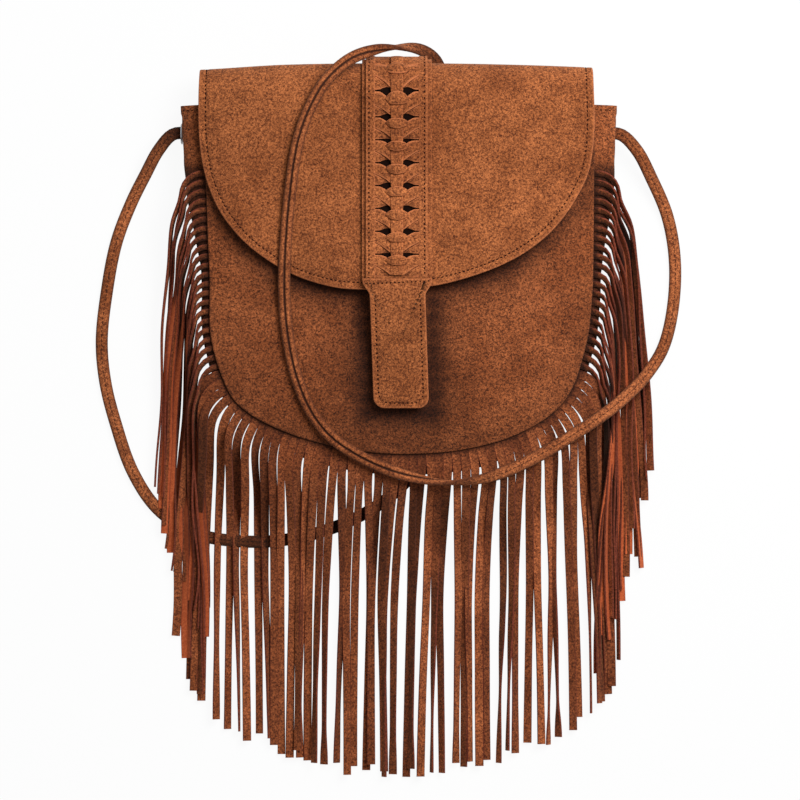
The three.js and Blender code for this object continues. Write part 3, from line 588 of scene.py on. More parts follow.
def liningGrid(skin):
    rows = []
    outline = along(seamTrace, 4.0)
    for i, p in enumerate(outline):
        distance = seamLength * i / (len(outline) - 1)
        edge = p + seamAt(distance)[1] * (liner["out"] - skin - tuck(distance))
        target = Vector((0, edge.y * 0.5, 0))
        lower, upper = [], []
        for s in linerShares:
            x, y, _ = edge.lerp(target, s)
            y = min(liner["mouth"], y)
            lift = archAt(x, y) + skin
            low = liner["floor"] + lift
            high = frontTop(x, y) - liner["underFront"] - skin
            if s in linerRims:
                low = wallMiddle - linerRims[s] + skin
                high = min(high, wallMiddle + linerRims[s] - skin)
            lower.append((x, y, max(low, liner["lowest"] + lift)))
            upper.append((x, y, high))
        rows.append(lower[::-1] + upper[1:])
    return rows


lining = shell("liningBag", liningGrid(0.0), liningGrid(liner["thick"]))
fit(lining, "lining")

# ---- flap: x across, t down the front from the mouth, negative t round the fold to the inside
print("flap")
flap = dict(fold=62.0, end=-78, lift=1.6, thick=1.4, rise=5.0, reach=22.0, back=5.7, half=114, grid=2.0,
            pressed=0.85, pressedAt=-63, pressedWidth=17, stitchIn=4.1, stitchDeep=0.32, stitchWide=0.75,
            liningIn=1.0, liningLift=0.55)
flapTrace = [
    (-108, -78), (-108, -64), (-112.4, -56), (-114.2, -40), (-114.6, -20), (-114.9, 3), (-114.3, 21),
    (-112.3, 35.4), (-109, 47.6), (-102.4, 62), (-93.6, 74), (-84.6, 83), (-69, 94), (-53.5, 101.4),
    (-34, 106.6), (-18, 107.6), (0, 107.4), (22.6, 105.2), (40, 100.9), (59, 94), (74, 86), (88.2, 74.8),
    (98, 63.2), (105.6, 51), (110.4, 40.5), (113.1, 28), (114.3, 10.4), (113.9, -8.7), (113.5, -30),
    (112.5, -56), (108, -64), (108, -78),
]


def onFlap(x, t, lift):
    if t >= 0:
        pressed = flap["pressed"] * bell(x, flap["pressedAt"], flap["pressedWidth"])  # by the strap
        edge = smooth(30, 100, t) * flap["rise"] * (1 - pressed)
        soft = (0.5 * wobble(x, t, 3, 38) + 0.22 * wobble(x, t, 4, 14)) * smooth(0, 12, t)
        return x, -t, frontTop(x, -t) + lift + edge + soft
    high = frontTop(x, 0) + lift
    low = flap["back"] + 3.0 - lift
    middle = (high + low) / 2
    angle = math.pi * min(flap["fold"], -t) / flap["fold"]
    beyond = max(0.0, -t - flap["fold"])
    reach = flap["reach"] + 2.2 * (1 - (x / flap["half"]) ** 2) - 1.2 * smooth(-60, -flap["half"], x)
    y = (reach + lift - 3.0) * math.sin(angle) - beyond
    return x, y, middle + (high - middle) * math.cos(angle)


def onFlapTop(x, t, high):
    return onFlap(x, t, flap["lift"] + high)


flapEdge = along(flapTrace, flap["grid"])
flapOutline = flapEdge + straight(108, -108, flap["end"], 70)[1:-1]
flapPiece = layer("flapSuede", flapOutline, (0, 15), onFlapTop, flap["thick"], edge=0.8, inner=40,
                  groove=(flap["stitchIn"], flap["stitchDeep"], flap["stitchWide"]))
flapLining = layer("flapLiningCloth", inset(flapOutline, flap["liningIn"]), (0, 15),
                   lambda x, t, h: onFlap(x, t, flap["liningLift"] + h), liner["thick"], edge=0.4, inner=34,
                   near=[0, 0.2, 0.8, 2, 4, 7])
fit(flapPiece, "flap")
fit(flapLining, "flap_lining")

# ---- band: a wide under strip, and on it a slit strip whose rungs are laced over and under a thong
print("band")
band = dict(half=20.2, topHalf=18.0, start=-34.0, end=101.0, slotHalf=12.6, first=-17.4, pitch=13.2, units=9,
            under=4.0, underThick=1.3, lift=5.9, thick=1.3, thongHalf=3.65, grid=2.0, lacedSteps=5,
            overlap=0.4, lean=0.35, wingShut=1.3, tongueShut=1.5)
# how dark the lacing is at its lowest, and the lifts between which it gets lighter
lacingShade = dict(dark=0.75, high=1.7, low=-0.5, power=1.3)
lastUnit = band["first"] + band["units"] * band["pitch"]


def bandStrip(name, left, right, start, end, lift, thick, across=6, bevel=0.25):
    count = max(2, int((end - start) / band["grid"]))

    def face(extra):
        return [
            [onFlap(mix(left, right, c / across), mix(start, end, r / count), lift + extra)
             for c in range(across + 1)]
            for r in range(count + 1)
        ]

    return shell(name, face(thick), face(0.0), bevel)


def lacedStrip(name, stations, thick, crown=0.25, across=6, alongT=False):
    # stations are (place, near edge, far edge, lift) and are smoothed into a strip on the flap
    ends = [stations[0]] + stations + [stations[-1]]
    lines = []
    for before, a, b, after in zip(ends, ends[1:], ends[2:], ends[3:]):
        for k in range(band["lacedSteps"]):
            lines.append([hermite(a[q], (b[q] - before[q]) / 2, b[q], (after[q] - a[q]) / 2,
                                  k / band["lacedSteps"]) for q in range(4)])
    outer, inner = [], []
    for place, near, far, lift in lines + [stations[-1]]:
        top, low = [], []
        for c in range(across + 1):
            e = mix(near, far, c / across)
            rise = crown * (1 - (2 * c / across - 1) ** 2)
            x, t = (e, place) if alongT else (place, e)
            top.append(onFlap(x, t, band["lift"] + lift + thick + rise))
            low.append(onFlap(x, t, band["lift"] + lift + rise * 0.6))
        outer.append(top)
        inner.append(low)
    return shell(name, outer, inner, 0.22, cut=0.25 if alongT else 0.95)


# (from the middle, upper edge, lower edge, lift) of the shapes that make one unit of the lacing
wingShape = [(13.6, -0.6, 5.5, 0.0), (12.4, -0.45, 5.7, 0.0), (10.0, -0.3, 6.9, 0.1), (8.4, 0.35, 7.9, 0.35),
             (6.2, 1.7, 9.3, 0.65), (4.2, 4.2, 10.8, 0.35), (2.4, 5.8, 11.7, -0.35)]
tongueShape = [(13.6, -7.4, -1.15, 0.0), (12.4, -7.2, -1.2, 0.0), (10.0, -6.0, -1.35, -0.05),
               (8.4, -5.0, -1.95, -0.25), (6.2, -4.2, -2.6, -0.6), (4.2, -3.8, -2.5, -0.8),
               (2.6, -3.6, -2.5, -0.9)]
crownShape = [(7.0, 2.4, 2.9, 0.6), (5.4, 1.2, 4.2, 1.35), (3.4, 0.3, 5.1, 2.1)]
thongShape = [(-5.4, 1, 1.15), (-1.6, 0.97, 1.0), (2.6, 0.9, 0.35), (5.6, 0.95, 0.75)]  # place, share, lift
lacingOpen = [0.0, 1.0, 1.0, 0.3, 1.0, 1.0, 0.95, 1.0, 0.35, 0.0]  # how open each unit is


def lacedUnit(index):
    t0 = band["first"] + index * band["pitch"]
    shut = 1 - lacingOpen[index]
    lean = random.Random(50 + index).uniform(-band["lean"], band["lean"])
    pieces = []
    for side in (-1, 1):
        wing, tongue = [], []
        for x, up, low, lift in wingShape:
            near = smooth(11, 6, x)
            up -= near * band["wingShut"] * shut
            wing.append((side * x, t0 + up, t0 + low + lean * near * side, lift))
        for x, up, low, lift in tongueShape:
            low += smooth(11, 6, x) * band["tongueShut"] * shut
            tongue.append((side * x, t0 + up, t0 + low, lift))
        if index < band["units"]:
            pieces.append(lacedStrip(f"wing{index}{side}", wing, 1.0, crown=0.3))
        pieces.append(lacedStrip(f"tongue{index}{side}", tongue, 0.9, crown=0.15))
    if index < band["units"]:
        left = [(-x, t0 + up, t0 + low, lift) for x, up, low, lift in crownShape]
        right = [(-x, up, low, lift) for x, up, low, lift in reversed(left)]
        top = (0, t0 - 0.2 + lean * 0.4, t0 + 5.5 + lean, 2.45)
        pieces.append(lacedStrip(f"crown{index}", left + [top] + right, 0.9, crown=0.7, across=8))
    return pieces


def thongStations():
    stations = [(band["first"] - 9.5, 1, 0.3)]
    for k in range(band["units"]):
        stations += [(band["first"] + k * band["pitch"] + t, share, lift) for t, share, lift in thongShape]
    stations += [(lastUnit - 6.2, 1, 1.1), (band["end"] - 1.5, 1, 0.2)]
    return [(t, -band["thongHalf"] * share, band["thongHalf"] * share, lift) for t, share, lift in stations]


def lacingDark(x, y, z):
    # the lower a piece of the lacing lies, the less light comes to it
    if abs(x) > band["slotHalf"] - 0.5 or y > 0:
        return 0.0
    lift = z - onFlap(x, -y, 0)[2] - band["lift"]
    return lacingShade["dark"] * smooth(lacingShade["high"], lacingShade["low"], lift) ** lacingShade["power"]


underBand = bandStrip("bandUnder", -band["half"], band["half"], band["start"], band["end"], band["under"],
                      band["underThick"], across=28)
slot, wideSlot, border = band["slotHalf"], band["slotHalf"] + band["overlap"], band["topHalf"]
bandPieces = [
    bandStrip(name, left, right, start, end, band["lift"] - drop, band["thick"], across)
    for name, left, right, start, end, drop, across in (
        ("borderLeft", -border, -slot, band["start"], band["end"], 0, 4),
        ("borderRight", slot, border - 0.4, band["start"], band["end"], 0, 4),
        ("endTop", -wideSlot, wideSlot, band["start"], band["first"] - 4.0, 0.35, 6),
        ("endLow", -wideSlot, wideSlot, lastUnit - 1.2, band["end"], 0, 6),
    )
]
for unit in range(band["units"] + 1):
    bandPieces += lacedUnit(unit)
selectOnly(*bandPieces)
bpy.ops.object.join()
bandPiece = bandPieces[0]
bandPiece.name = bandPiece.data.name = "bandLaced"
thong = lacedStrip("thongWoven", thongStations(), 1.0, crown=0.35, alongT=True)
# painted shade: a thin near-black sheet on the under strip, so the holes in the lacing read as deep shadow
bandShadow = bandStrip("bandShadowSheet", -slot - 1, slot + 1, band["first"] - 8, band["end"] - 2,
                       band["under"] + band["underThick"] + 0.02, 0.06, bevel=0.0)
darken(bandPiece, lacingDark)
darken(thong, lacingDark)
fit(bandPiece, "braided_band")
fit(thong, "woven_thong")
fit(bandShadow, "band_backing")
fit(underBand)

# ---- tab: two layers stitched round, with shoulders as wide as the band, closed by the snap
print("tab")
tab = dict(start=101.4, length=74.5, half=16.0, neck=1.6, shoulder=10.0, corner=6.4, lean=0.034, lift=5.6,
           thick=1.5, stitchIn=3.1, drop=(6, 55), cup=0.5, cupRun=(12, 40), wave=0.3,
           underThick=1.15, underDrop=1.3, underIn=0.25)


def tabOutline(grow=0.0):
    start, end = tab["start"], tab["start"] + tab["length"] + grow
    half, wide, r = tab["half"] + grow, band["half"] + grow, tab["corner"]
    right = [(wide - 0.1, start - 0.3)]
    for s in [k / 8 for k in range(8)]:
        right.append((mix(wide - 0.2, half, smooth(0, 1, s)), start + mix(tab["neck"], tab["shoulder"], s)))
    right += [(half, mix(start + 12, end - r, k / 16)) for k in range(16)]
    for k in range(9):
        a = math.pi / 2 * k / 8
        right.append((half - r + r * math.cos(a), end - r + r * math.sin(a)))
    left = [Vector((-x, t, 0)) for x, t in reversed(right)]
    right = [Vector((x, t, 0)) for x, t in right]
    low = straight(half - r, r - half, end, 10)[1:-1]
    return right + low + left + straight(-band["half"], band["half"], start - 0.3, 14)[1:-1]


def onTab(x, t, high):
    down = t - tab["start"]
    drop = smooth(*tab["drop"], down) * flap["rise"]
    cup = tab["cup"] * smooth(0.4, 1.0, abs(x) / tab["half"]) * smooth(*tab["cupRun"], down)
    wave = tab["wave"] * wobble(x, t, 8, 18)
    _, y, z = onFlap(x, t, 0)
    return x + down * tab["lean"], y, z - drop - cup + wave + tab["lift"] + high


tabMiddle = (0, tab["start"] + tab["length"] / 2)
tabPiece = layer("tabTop", tabOutline(), tabMiddle, onTab, tab["thick"], inner=14,
                 groove=(tab["stitchIn"], 0.3, 0.7), near=sheetMesh["near"][:12])
tabUnder = layer("tabUnder", inset(tabOutline(), tab["underIn"]), tabMiddle,
                 lambda x, t, h: onTab(x, t, h - tab["underDrop"]), tab["underThick"], edge=0.5, inner=14,
                 near=[0, 0.2, 0.6, 1.5, 3])
fit(tabPiece, "closure_tab")
fit(tabUnder, "tab_backing")

# ---- fringe: every strand is laid out on its own, from its root in the seam to its tip
print("fringe")
fringe = dict(length=187.0, inside=7, width=4.65, thick=1.15, corner=0.22, pitch=5.35, bottomPitch=4.9,
              top=37.0, rootLevel=24.5, sideCount=22, steps=56, planStep=1.5, sideRootWide=0.76,
              smoothAngle=40, seed=7)
# where the bottom tips lie from left to right, in steps of 0.58 mm, and the bag's middle in the same steps
tips = dict(step=0.58, middle=397, places=[
    187, 191, 195, 199, 203, 214, 226, 237, 244, 255, 263, 268, 275, 281, 288, 294, 301, 307, 312, 321, 330,
    338, 346, 354, 362, 371, 379, 385, 391, 398, 405, 414, 421, 429, 441, 451, 460, 466, 474, 483, 490, 497,
    506, 515, 526, 537, 547, 555, 566, 573, 583, 594, 603, 606, 610, 614, 618,
])
# how far out each side's strands turn down, where their tips lie, and which of them show their reverse
sideLay = {
    -1: dict(turn=(13.5, 7.0), lane=(22.5, 8.5), reversed=(3, 6, 8, 10, 12, 14, 16, 18),
             tips=[-141, -137.5, -139, -136.8, -135.7, -134.5, -134.5, -131.7, -131.7, -128.8, -127.6, -123.5,
                   -120, -116.6, -112, -115.4, -112, -128, -124, -121, -117, -113]),
    1: dict(turn=(14.0, 7.5), lane=(25.5, 10.0), reversed=(4, 7, 13, 16),
            tips=[147.6, 146.0, 143.5, 144.0, 139.5, 140.0, 137.5, 136.0, 139.5, 141.0, 133.0, 131.0,
                  127.0, 130.5, 124.5, 127.0, 119.5, 122.0, 129.0, 118.0, 116.5, 121.0]),
}
# painted shade on the side under the next strand, along it, at the sides and at the bottom
underNext = [(0.036, 0.95), (0.075, 0.95), (0.12, 0.7), (0.2, 0.4), (1, 0.2)]
underRoots = [(0.036, 0.95), (0.06, 0.4), (0.1, 0.15), (1, 0)]
random.seed(fringe["seed"])
bottomFrom = fringe["top"] + fringe["sideCount"] * fringe["pitch"]
bottomRun = seamLength - 2 * bottomFrom


def cutTo(line, length):
    total = 0.0
    out = [line[0]]
    for a, b in zip(line, line[1:]):
        gap = (b - a).length
        if total + gap >= length:
            out.append(a.lerp(b, (length - total) / gap))
            break
        total += gap
        out.append(b)
    return out


def strand(plan, dropFrom, dropTo, restAt, twist, tint, length, rootWide, dark, under, underDark):
    # plan is the strand seen from above; it hangs from the seam to the floor between the two distances, and the
    # side under is shaded by underDark too; u is 0 on the face, 1 on the back and a half on a cut edge
    steps = fringe["steps"]
    flat = resample(cutTo(along(plan, fringe["planStep"]), length), steps)
    high, corner = fringe["thick"] / 2, fringe["corner"]
    line, run = [], 0.0
    for i, p in enumerate(flat):
        run += (p - flat[max(0, i - 1)]).length
        a = valueAt(twist, i / steps)
        support = fringe["width"] / 2 * abs(math.sin(a)) + high * abs(math.cos(a))
        low = restAt(p.x, p.y, i / steps) + support
        line.append(Vector((p.x, p.y, mix(fringe["rootLevel"], low, smooth(dropFrom, dropTo, run)))))
    wide = random.uniform(0.94, 1.05)
    points, darks = [], []
    for i in range(steps + 1):
        s = i / steps
        width = mix(rootWide, wide * (1.0 - 0.05 * math.sin(s * 9 + wide * 40)), smooth(0.08, 0.17, s))
        half = fringe["width"] * width / 2
        right = [(half - corner, high), (half, high - corner), (half, corner - high), (half - corner, -high)]
        left = [(-x, z) for x, z in reversed(right)]
        points += carry(line, i, valueAt(twist, s), left[-1:] + right + left[:-1])
        plain, deep = valueAt(dark, s), valueAt(underDark, s)
        darks += [max(plain, deep) if side == under else max(plain, 0) for side in (-1, 1, 1, 1, 1, -1, -1, -1)]
    corners = []
    unit = fringe["length"] / steps * mm
    for i in range(steps):
        for u in (0, 0.5, 0.5, 0.5, 1, 0.5, 0.5, 0.5):
            corners.append([(u, i * unit)] * 2 + [(u, (i + 1) * unit)] * 2)
    corners += [[(0.5, 0)] * 8, [(0.5, steps * unit)] * 8]
    return points, tube(steps + 1, 8), corners, [tint] * len(corners), darks


def bottomStrand(k, count):
    share = (k + 0.5) / count
    root, normal = seamAt(bottomFrom + bottomRun * share)
    place = share * (len(tips["places"]) - 1)
    i = min(len(tips["places"]) - 2, int(place))
    tip = mix(tips["places"][i], tips["places"][i + 1], place - i) - tips["middle"]
    tipX = tip * tips["step"] + random.uniform(-2.2, 2.2)
    fromMiddle = abs(share - 0.5) * 2
    knee = root + Vector((normal.x * (10 + 4 * fromMiddle) + random.uniform(-0.9, 0.9),
                          normal.y * 14 - 7 * fromMiddle ** 2, 0))
    sway = random.uniform(-3.2, 3.2)
    plan = [root - normal * fringe["inside"], root, root + normal * 6, knee]
    for toTip, bow, down in ((0.3, 0.35, 26), (0.6, 0.8, 70), (0.85, 0.35, 120), (1, 0, 175), (1, 0, 200)):
        plan.append((mix(knee.x, tipX, toTip) + sway * bow, knee.y - down))
    lay = 0.2 + 2.6 * random.random() ** 1.5 + 1.6 * (k % 3 == 1)
    turn = random.choice((-1, 1)) * random.choice((0.1, 0.3, 0.5, 0.8, 1.1, 1.45))
    twist = [(0, 0), (0.07, 0), (0.25, random.uniform(-0.4, 0.4)), (random.uniform(0.5, 0.6), turn * 0.6),
             (random.uniform(0.75, 0.9), turn), (1.0, turn * random.uniform(0.4, 1.1))]
    # painted shade: a shade line at the root under the front's rim, and some strands darker along their run
    strandShade = random.choice((0, 0, 0.1, 0.3, 0.6))
    dark = [(0.036, 1), (0.041, 0.7), (0.05, 0.1), (0.065, 0), (0.2, strandShade), (0.6, strandShade * 0.8), (1, 0)]
    return strand(plan, 12, random.uniform(60, 110), lambda x, y, s: lay * s, twist, random.uniform(0, 1),
                  fringe["length"] + fringe["inside"] + random.uniform(-5, 3), random.uniform(1.05, 1.15),
                  dark, -1, underRoots)


def sideStrand(side, k):
    lay = sideLay[side]
    share = k / (fringe["sideCount"] - 1)
    distance = fringe["top"] + (k + 0.5) * fringe["pitch"]
    root, normal = seamAt(seamLength - distance if side > 0 else distance)
    jitter = random.uniform(-1, 1)
    turn = mix(*lay["turn"], min(1, share * 1.15)) + 5 * smooth(0.82, 1.0, share) + jitter
    lane = mix(*lay["lane"], share ** 0.8) + 7 * smooth(0.75, 1.0, share) + random.uniform(-1.8, 1.8)
    tipX = lay["tips"][k]
    plan = [root - normal * fringe["inside"], root]
    for out, fall in ((0.42, 0.04), (0.72, 0.22), (0.93, 0.55), (1.03, 1.05)):
        plan.append(root + normal * (turn * out) - Vector((0, turn * fall, 0)))
    entryY = root.y - turn * 1.2 - 12
    joinX, joinY = root.x + side * lane, entryY - 24
    plan += [(root.x + side * mix(turn * 1.1, lane, 0.6), entryY), (joinX, joinY)]
    for toTip, sway, down in ((0.4, 1.6, 36), (0.75, 1.8, 78), (1, 1, 118), (1, 2, 175)):
        plan.append((mix(joinX, tipX, toTip) + random.uniform(-sway, sway), joinY - down))
    plan[-1] = (plan[-1][0] + side * random.choice((0, 0, 1, 5, 9)), plan[-1][1])
    deep = random.uniform(0.2, 9.0)
    # painted shade: strands lying deeper are darker, those on the right a little more, and a shade line at the
    # root
    strandShade = 0.85 * smooth(7 + side, 1, deep) + 0.1 * (side + 1)
    edgeOn = -side * random.uniform(1.05, 1.4)
    atEnd = -side * random.choice((0.1, 0.3, 0.6, 0.9, 1.3, 1.6, 2.1))
    if k in lay["reversed"]:
        edgeOn, atEnd = -side * 1.5, -side * 2.9
    begin = fringe["inside"] / fringe["length"]
    settled = (fringe["inside"] + turn * 1.3) / fringe["length"]
    twist = [(0, 0), (begin, edgeOn * 0.2), (mix(begin, settled, 0.4), edgeOn * 0.6), (settled, edgeOn),
             (0.28, mix(edgeOn, atEnd, 0.35)), (0.5, mix(edgeOn, atEnd, 0.75)), (1.0, atEnd)]

    def rest(x, y, s):
        pile = deep * (1 - 0.75 * smooth(0.35, 0.95, s))
        overStrap = 3.7 * bell(y, -243, 15) * smooth(-100, -112, x)
        return pile if side > 0 else max(pile, overStrap)

    dark = [(0.034, 1), (0.043, 0.4), (0.05, 0), (0.1, 0), (0.2, strandShade), (0.6, strandShade * 0.7), (1, 0)]
    return strand(plan, fringe["inside"] + turn * 0.5, fringe["inside"] + turn * 1.2 + 55, rest, twist,
                  random.uniform(0, 1), fringe["length"] + fringe["inside"] + random.uniform(-4, 6),
                  fringe["sideRootWide"], dark, side, underNext)


def strandsPiece(name, node, strands):
    points, faces, corners, tints, darks = gather(strands)
    piece = newPiece(name, points, faces)
    layUv(piece, "cut", corners)
    setValues(piece, "shade", darks)
    setValues(piece, "tint", tints, "FACE")
    fit(shadeSmooth(mendMesh(piece), fringe["smoothAngle"]), node)
    return piece


bottomCount = int(bottomRun / fringe["bottomPitch"])
sideRange = range(fringe["sideCount"])
fringeBottom = strandsPiece("fringeBottom", "fringe_bottom",
                            [bottomStrand(k, bottomCount) for k in range(bottomCount)])
fringeLeft = strandsPiece("fringeLeft", "fringe_left", [sideStrand(-1, k) for k in sideRange])
fringeRight = strandsPiece("fringeRight", "fringe_right", [sideStrand(1, k) for k in sideRange])

# ---- stitches: one thread loop, copied along every seam
print("stitches")
# each row's pitch, and its loops' length, width and height
thread = dict(flap=(2.55, 1.7, 0.95, 0.5), band=(2.55, 1.4, 1.0, 0.5), tab=(2.5, 1.4, 1.0, 0.5),
              neck=(2.4, 1.3, 0.75, 0.42), hem=(2.6, 1.7, 0.7, 0.5))
bpy.ops.mesh.primitive_uv_sphere_add(segments=6, ring_count=4, radius=1)
threadSeed = bpy.context.object
seedPoints = [v.co.copy() for v in threadSeed.data.vertices]
seedFaces = [tuple(p.vertices) for p in threadSeed.data.polygons]
bpy.data.objects.remove(threadSeed)


def threadLoop(here, ahead, aside, size):
    up = ahead.cross(aside).normalized()
    length, width, high = (s / 2 for s in size)
    return [here + ahead * v.x * length + aside * v.y * width + up * v.z * high for v in seedPoints], seedFaces


def stitchRow(line, place, kind, level):
    # line is on the flat pattern, place(x, y, height) puts it on the surface
    pitch, length, width, high = thread[kind]
    marks = along([p[:2] for p in line], pitch)
    loops = []
    for i, p in enumerate(marks):
        run = (marks[i + 1] - p if i < len(marks) - 1 else p - marks[i - 1]).normalized()
        across = Vector((-run.y, run.x, 0))
        here = Vector(place(p.x, p.y, level))
        ahead, aside = ((Vector(place(*(p + d * 0.5)[:2], level)) - here).normalized() for d in (run, across))
        loops.append(threadLoop(here, ahead, aside, (length, width * random.uniform(0.9, 1.1), high)))
    return gather(loops)


def hemStitches(side):
    distance = hem["stitchAt"] if side < 0 else seamLength - hem["stitchAt"]
    spots = along(wallSection(-hem["outwards"]), thread["hem"][0])
    loops = []
    for i, q in enumerate(spots):
        p, n = seamAt(distance, q.x - 0.15)
        run = spots[min(len(spots) - 1, i + 1)] - spots[max(0, i - 1)]
        ahead = (n * run.x + Vector((0, 0, run.y))).normalized()
        loops.append(threadLoop(Vector((p.x, p.y, q.y)), ahead, Vector((-n.y, n.x, 0)), thread["hem"][1:]))
    return gather(loops)


def stitchPiece(name, rows):
    piece = shadeSmooth(newPiece(name, *gather(rows)))
    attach(piece, "root")
    return piece


def onBand(x, t, high):
    return onFlap(x, t, band["lift"] + band["thick"] + high)


stitchLine = [p for p in inset(flapOutline, flap["stitchIn"])[:len(flapEdge)] if p.y > -40]
flapRuns = [[p for p in stitchLine if p.x < -19], [p for p in stitchLine if p.x > 19.5]]
tabRun = [p for p in tabOutline(-tab["stitchIn"]) if p.y > tab["start"] + 3.5]
neckRun = [(-18, tab["start"] + 2.9), (0, tab["start"] + 2.2), (18, tab["start"] + 1.3)]
flapStitches = stitchPiece("flapStitches", [stitchRow(run, onFlapTop, "flap", 1.12) for run in flapRuns])
bandStitches = stitchPiece("bandStitches", [
    stitchRow([(x, t) for t in (-30, 0, 40, 98)], onBand, "band", 0.0) for x in (-16.1, 15.9)
])
tabStitches = stitchPiece("tabStitches", [
    stitchRow(tabRun, onTab, "tab", tab["thick"] - 0.2), stitchRow(neckRun, onTab, "neck", tab["thick"] - 0.05)
])
hemRows = stitchPiece("hemStitches", [hemStitches(-1), hemStitches(1)])

# ---- shader tools
print("materials")


class Wire:
    # a socket that can stand in an expression
    def __init__(self, shader, socket):
        self.shader, self.socket = shader, socket

    def __add__(self, other):
        return self.shader.maths("ADD", self, other)

    def __sub__(self, other):
        return self.shader.maths("SUBTRACT", self, other)

    def __rsub__(self, other):
        return self.shader.maths("SUBTRACT", other, self)

    def __mul__(self, other):
        return self.shader.maths("MULTIPLY", self, other)

    __radd__, __rmul__ = __add__, __mul__


class Shader:
    def __init__(self, name):
        self.material = bpy.data.materials.new(name)
        self.material.use_nodes = True
        self.tree = self.material.node_tree
        self.tree.nodes.clear()

    def node(self, kind, settings=None, values=None, output=0):
        made = self.tree.nodes.new(kind)
        for key, value in (settings or {}).items():
            setattr(made, key, value)
        for key, value in (values or {}).items():
            if isinstance(value, Wire):
                self.tree.links.new(value.socket, made.inputs[key])
            else:
                made.inputs[key].default_value = value
        return Wire(self, made.outputs[output]) if made.outputs else None

    def maths(self, operation, *inputs):
        return self.node("ShaderNodeMath", dict(operation=operation), dict(enumerate(inputs)))

    def blend(self, share, a, b, mode="MIX"):
        settings = dict(data_type="RGBA", blend_type=mode, clamp_result=False)
        return self.node("ShaderNodeMix", settings, {0: share, 6: a, 7: b}, output=2)

    def noise(self, where, scale, detail=2.0, rough=0.5, distortion=0.0):
        return self.node("ShaderNodeTexNoise", None, {
            "Vector": where, "Scale": scale, "Detail": detail, "Roughness": rough, "Distortion": distortion,
        })

    def ramp(self, value, low, high):
        return self.node("ShaderNodeMapRange", dict(interpolation_type="SMOOTHSTEP"),
                         {0: value, 1: low, 2: high, 3: 0.0, 4: 1.0})

    def place(self):
        return self.node("ShaderNodeTexCoord", output="Object")

    def part(self, vector, axis):
        return self.node("ShaderNodeSeparateXYZ", None, {0: vector}, output=axis)

    def uv(self, name, axis):
        return self.part(self.node("ShaderNodeUVMap", dict(uv_map=name)), axis)

    def attribute(self, name):
        return self.node("ShaderNodeAttribute", dict(attribute_name=name), output="Fac")

    def bump(self, height, strength, distance):
        return self.node("ShaderNodeBump", None, {"Strength": strength, "Distance": distance, "Height": height})

    def finish(self, surface):
        self.node("ShaderNodeOutputMaterial", None, {0: surface})
        return self.material

    def skin(self, values):
        return self.finish(self.node("ShaderNodeBsdfPrincipled", None, values))


def rgb(r, g, b):
    def lin(c):
        c /= 255
        return c / 12.92 if c <= 0.04045 else ((c + 0.055) / 1.055) ** 2.4
    return (lin(r), lin(g), lin(b), 1)


suede = dict(
    dark=rgb(82, 36, 16), light=rgb(210, 125, 71), drift=(0.63, 0.57, 0.51, 1),
    grain=720.0, speck=1584.0, patch=60.0, broad=14.0, bump=0.25, bumpDepth=0.00035,
    grainRange=(0.32, 0.74), driftRange=(0.36, 0.64),
    # edge and its tone lighten cut rims, partly the raw edge's colour and partly painted highlight; shade is
    # the tone of the painted shade
    edge=0.35, cutEdgeAndHighlightTone=rgb(206, 122, 76), shade=(0.1, 0.07, 0.06, 1),
    cutDark=rgb(84, 34, 22), cutLight=rgb(142, 68, 46),
    backDark=rgb(172, 76, 40), backLight=rgb(216, 110, 62),
    strandLow=(0.62, 0.56, 0.54, 1), strandHigh=(1.16, 1.14, 1.12, 1),
    # flank: painted shade on the strap's flanks; seam: its stitches, and in the groove a dark line that is
    # partly the seam and partly painted shade
    flank=rgb(52, 20, 12), flankRange=(0.11, 0.25), flankShade=0.75,
    seam=rgb(42, 15, 9), grooveRange=(0.035, 0.1), grooveDark=0.9,
    stitches=380.0, stitchRange=(0.462, 0.48), stitchGap=(0.3, 0.4), stitchDark=0.8,
    rough=0.93, specular=0.2, sheen=0.07, sheenRough=0.6, sheenTint=(1.0, 0.66, 0.42, 1),
)


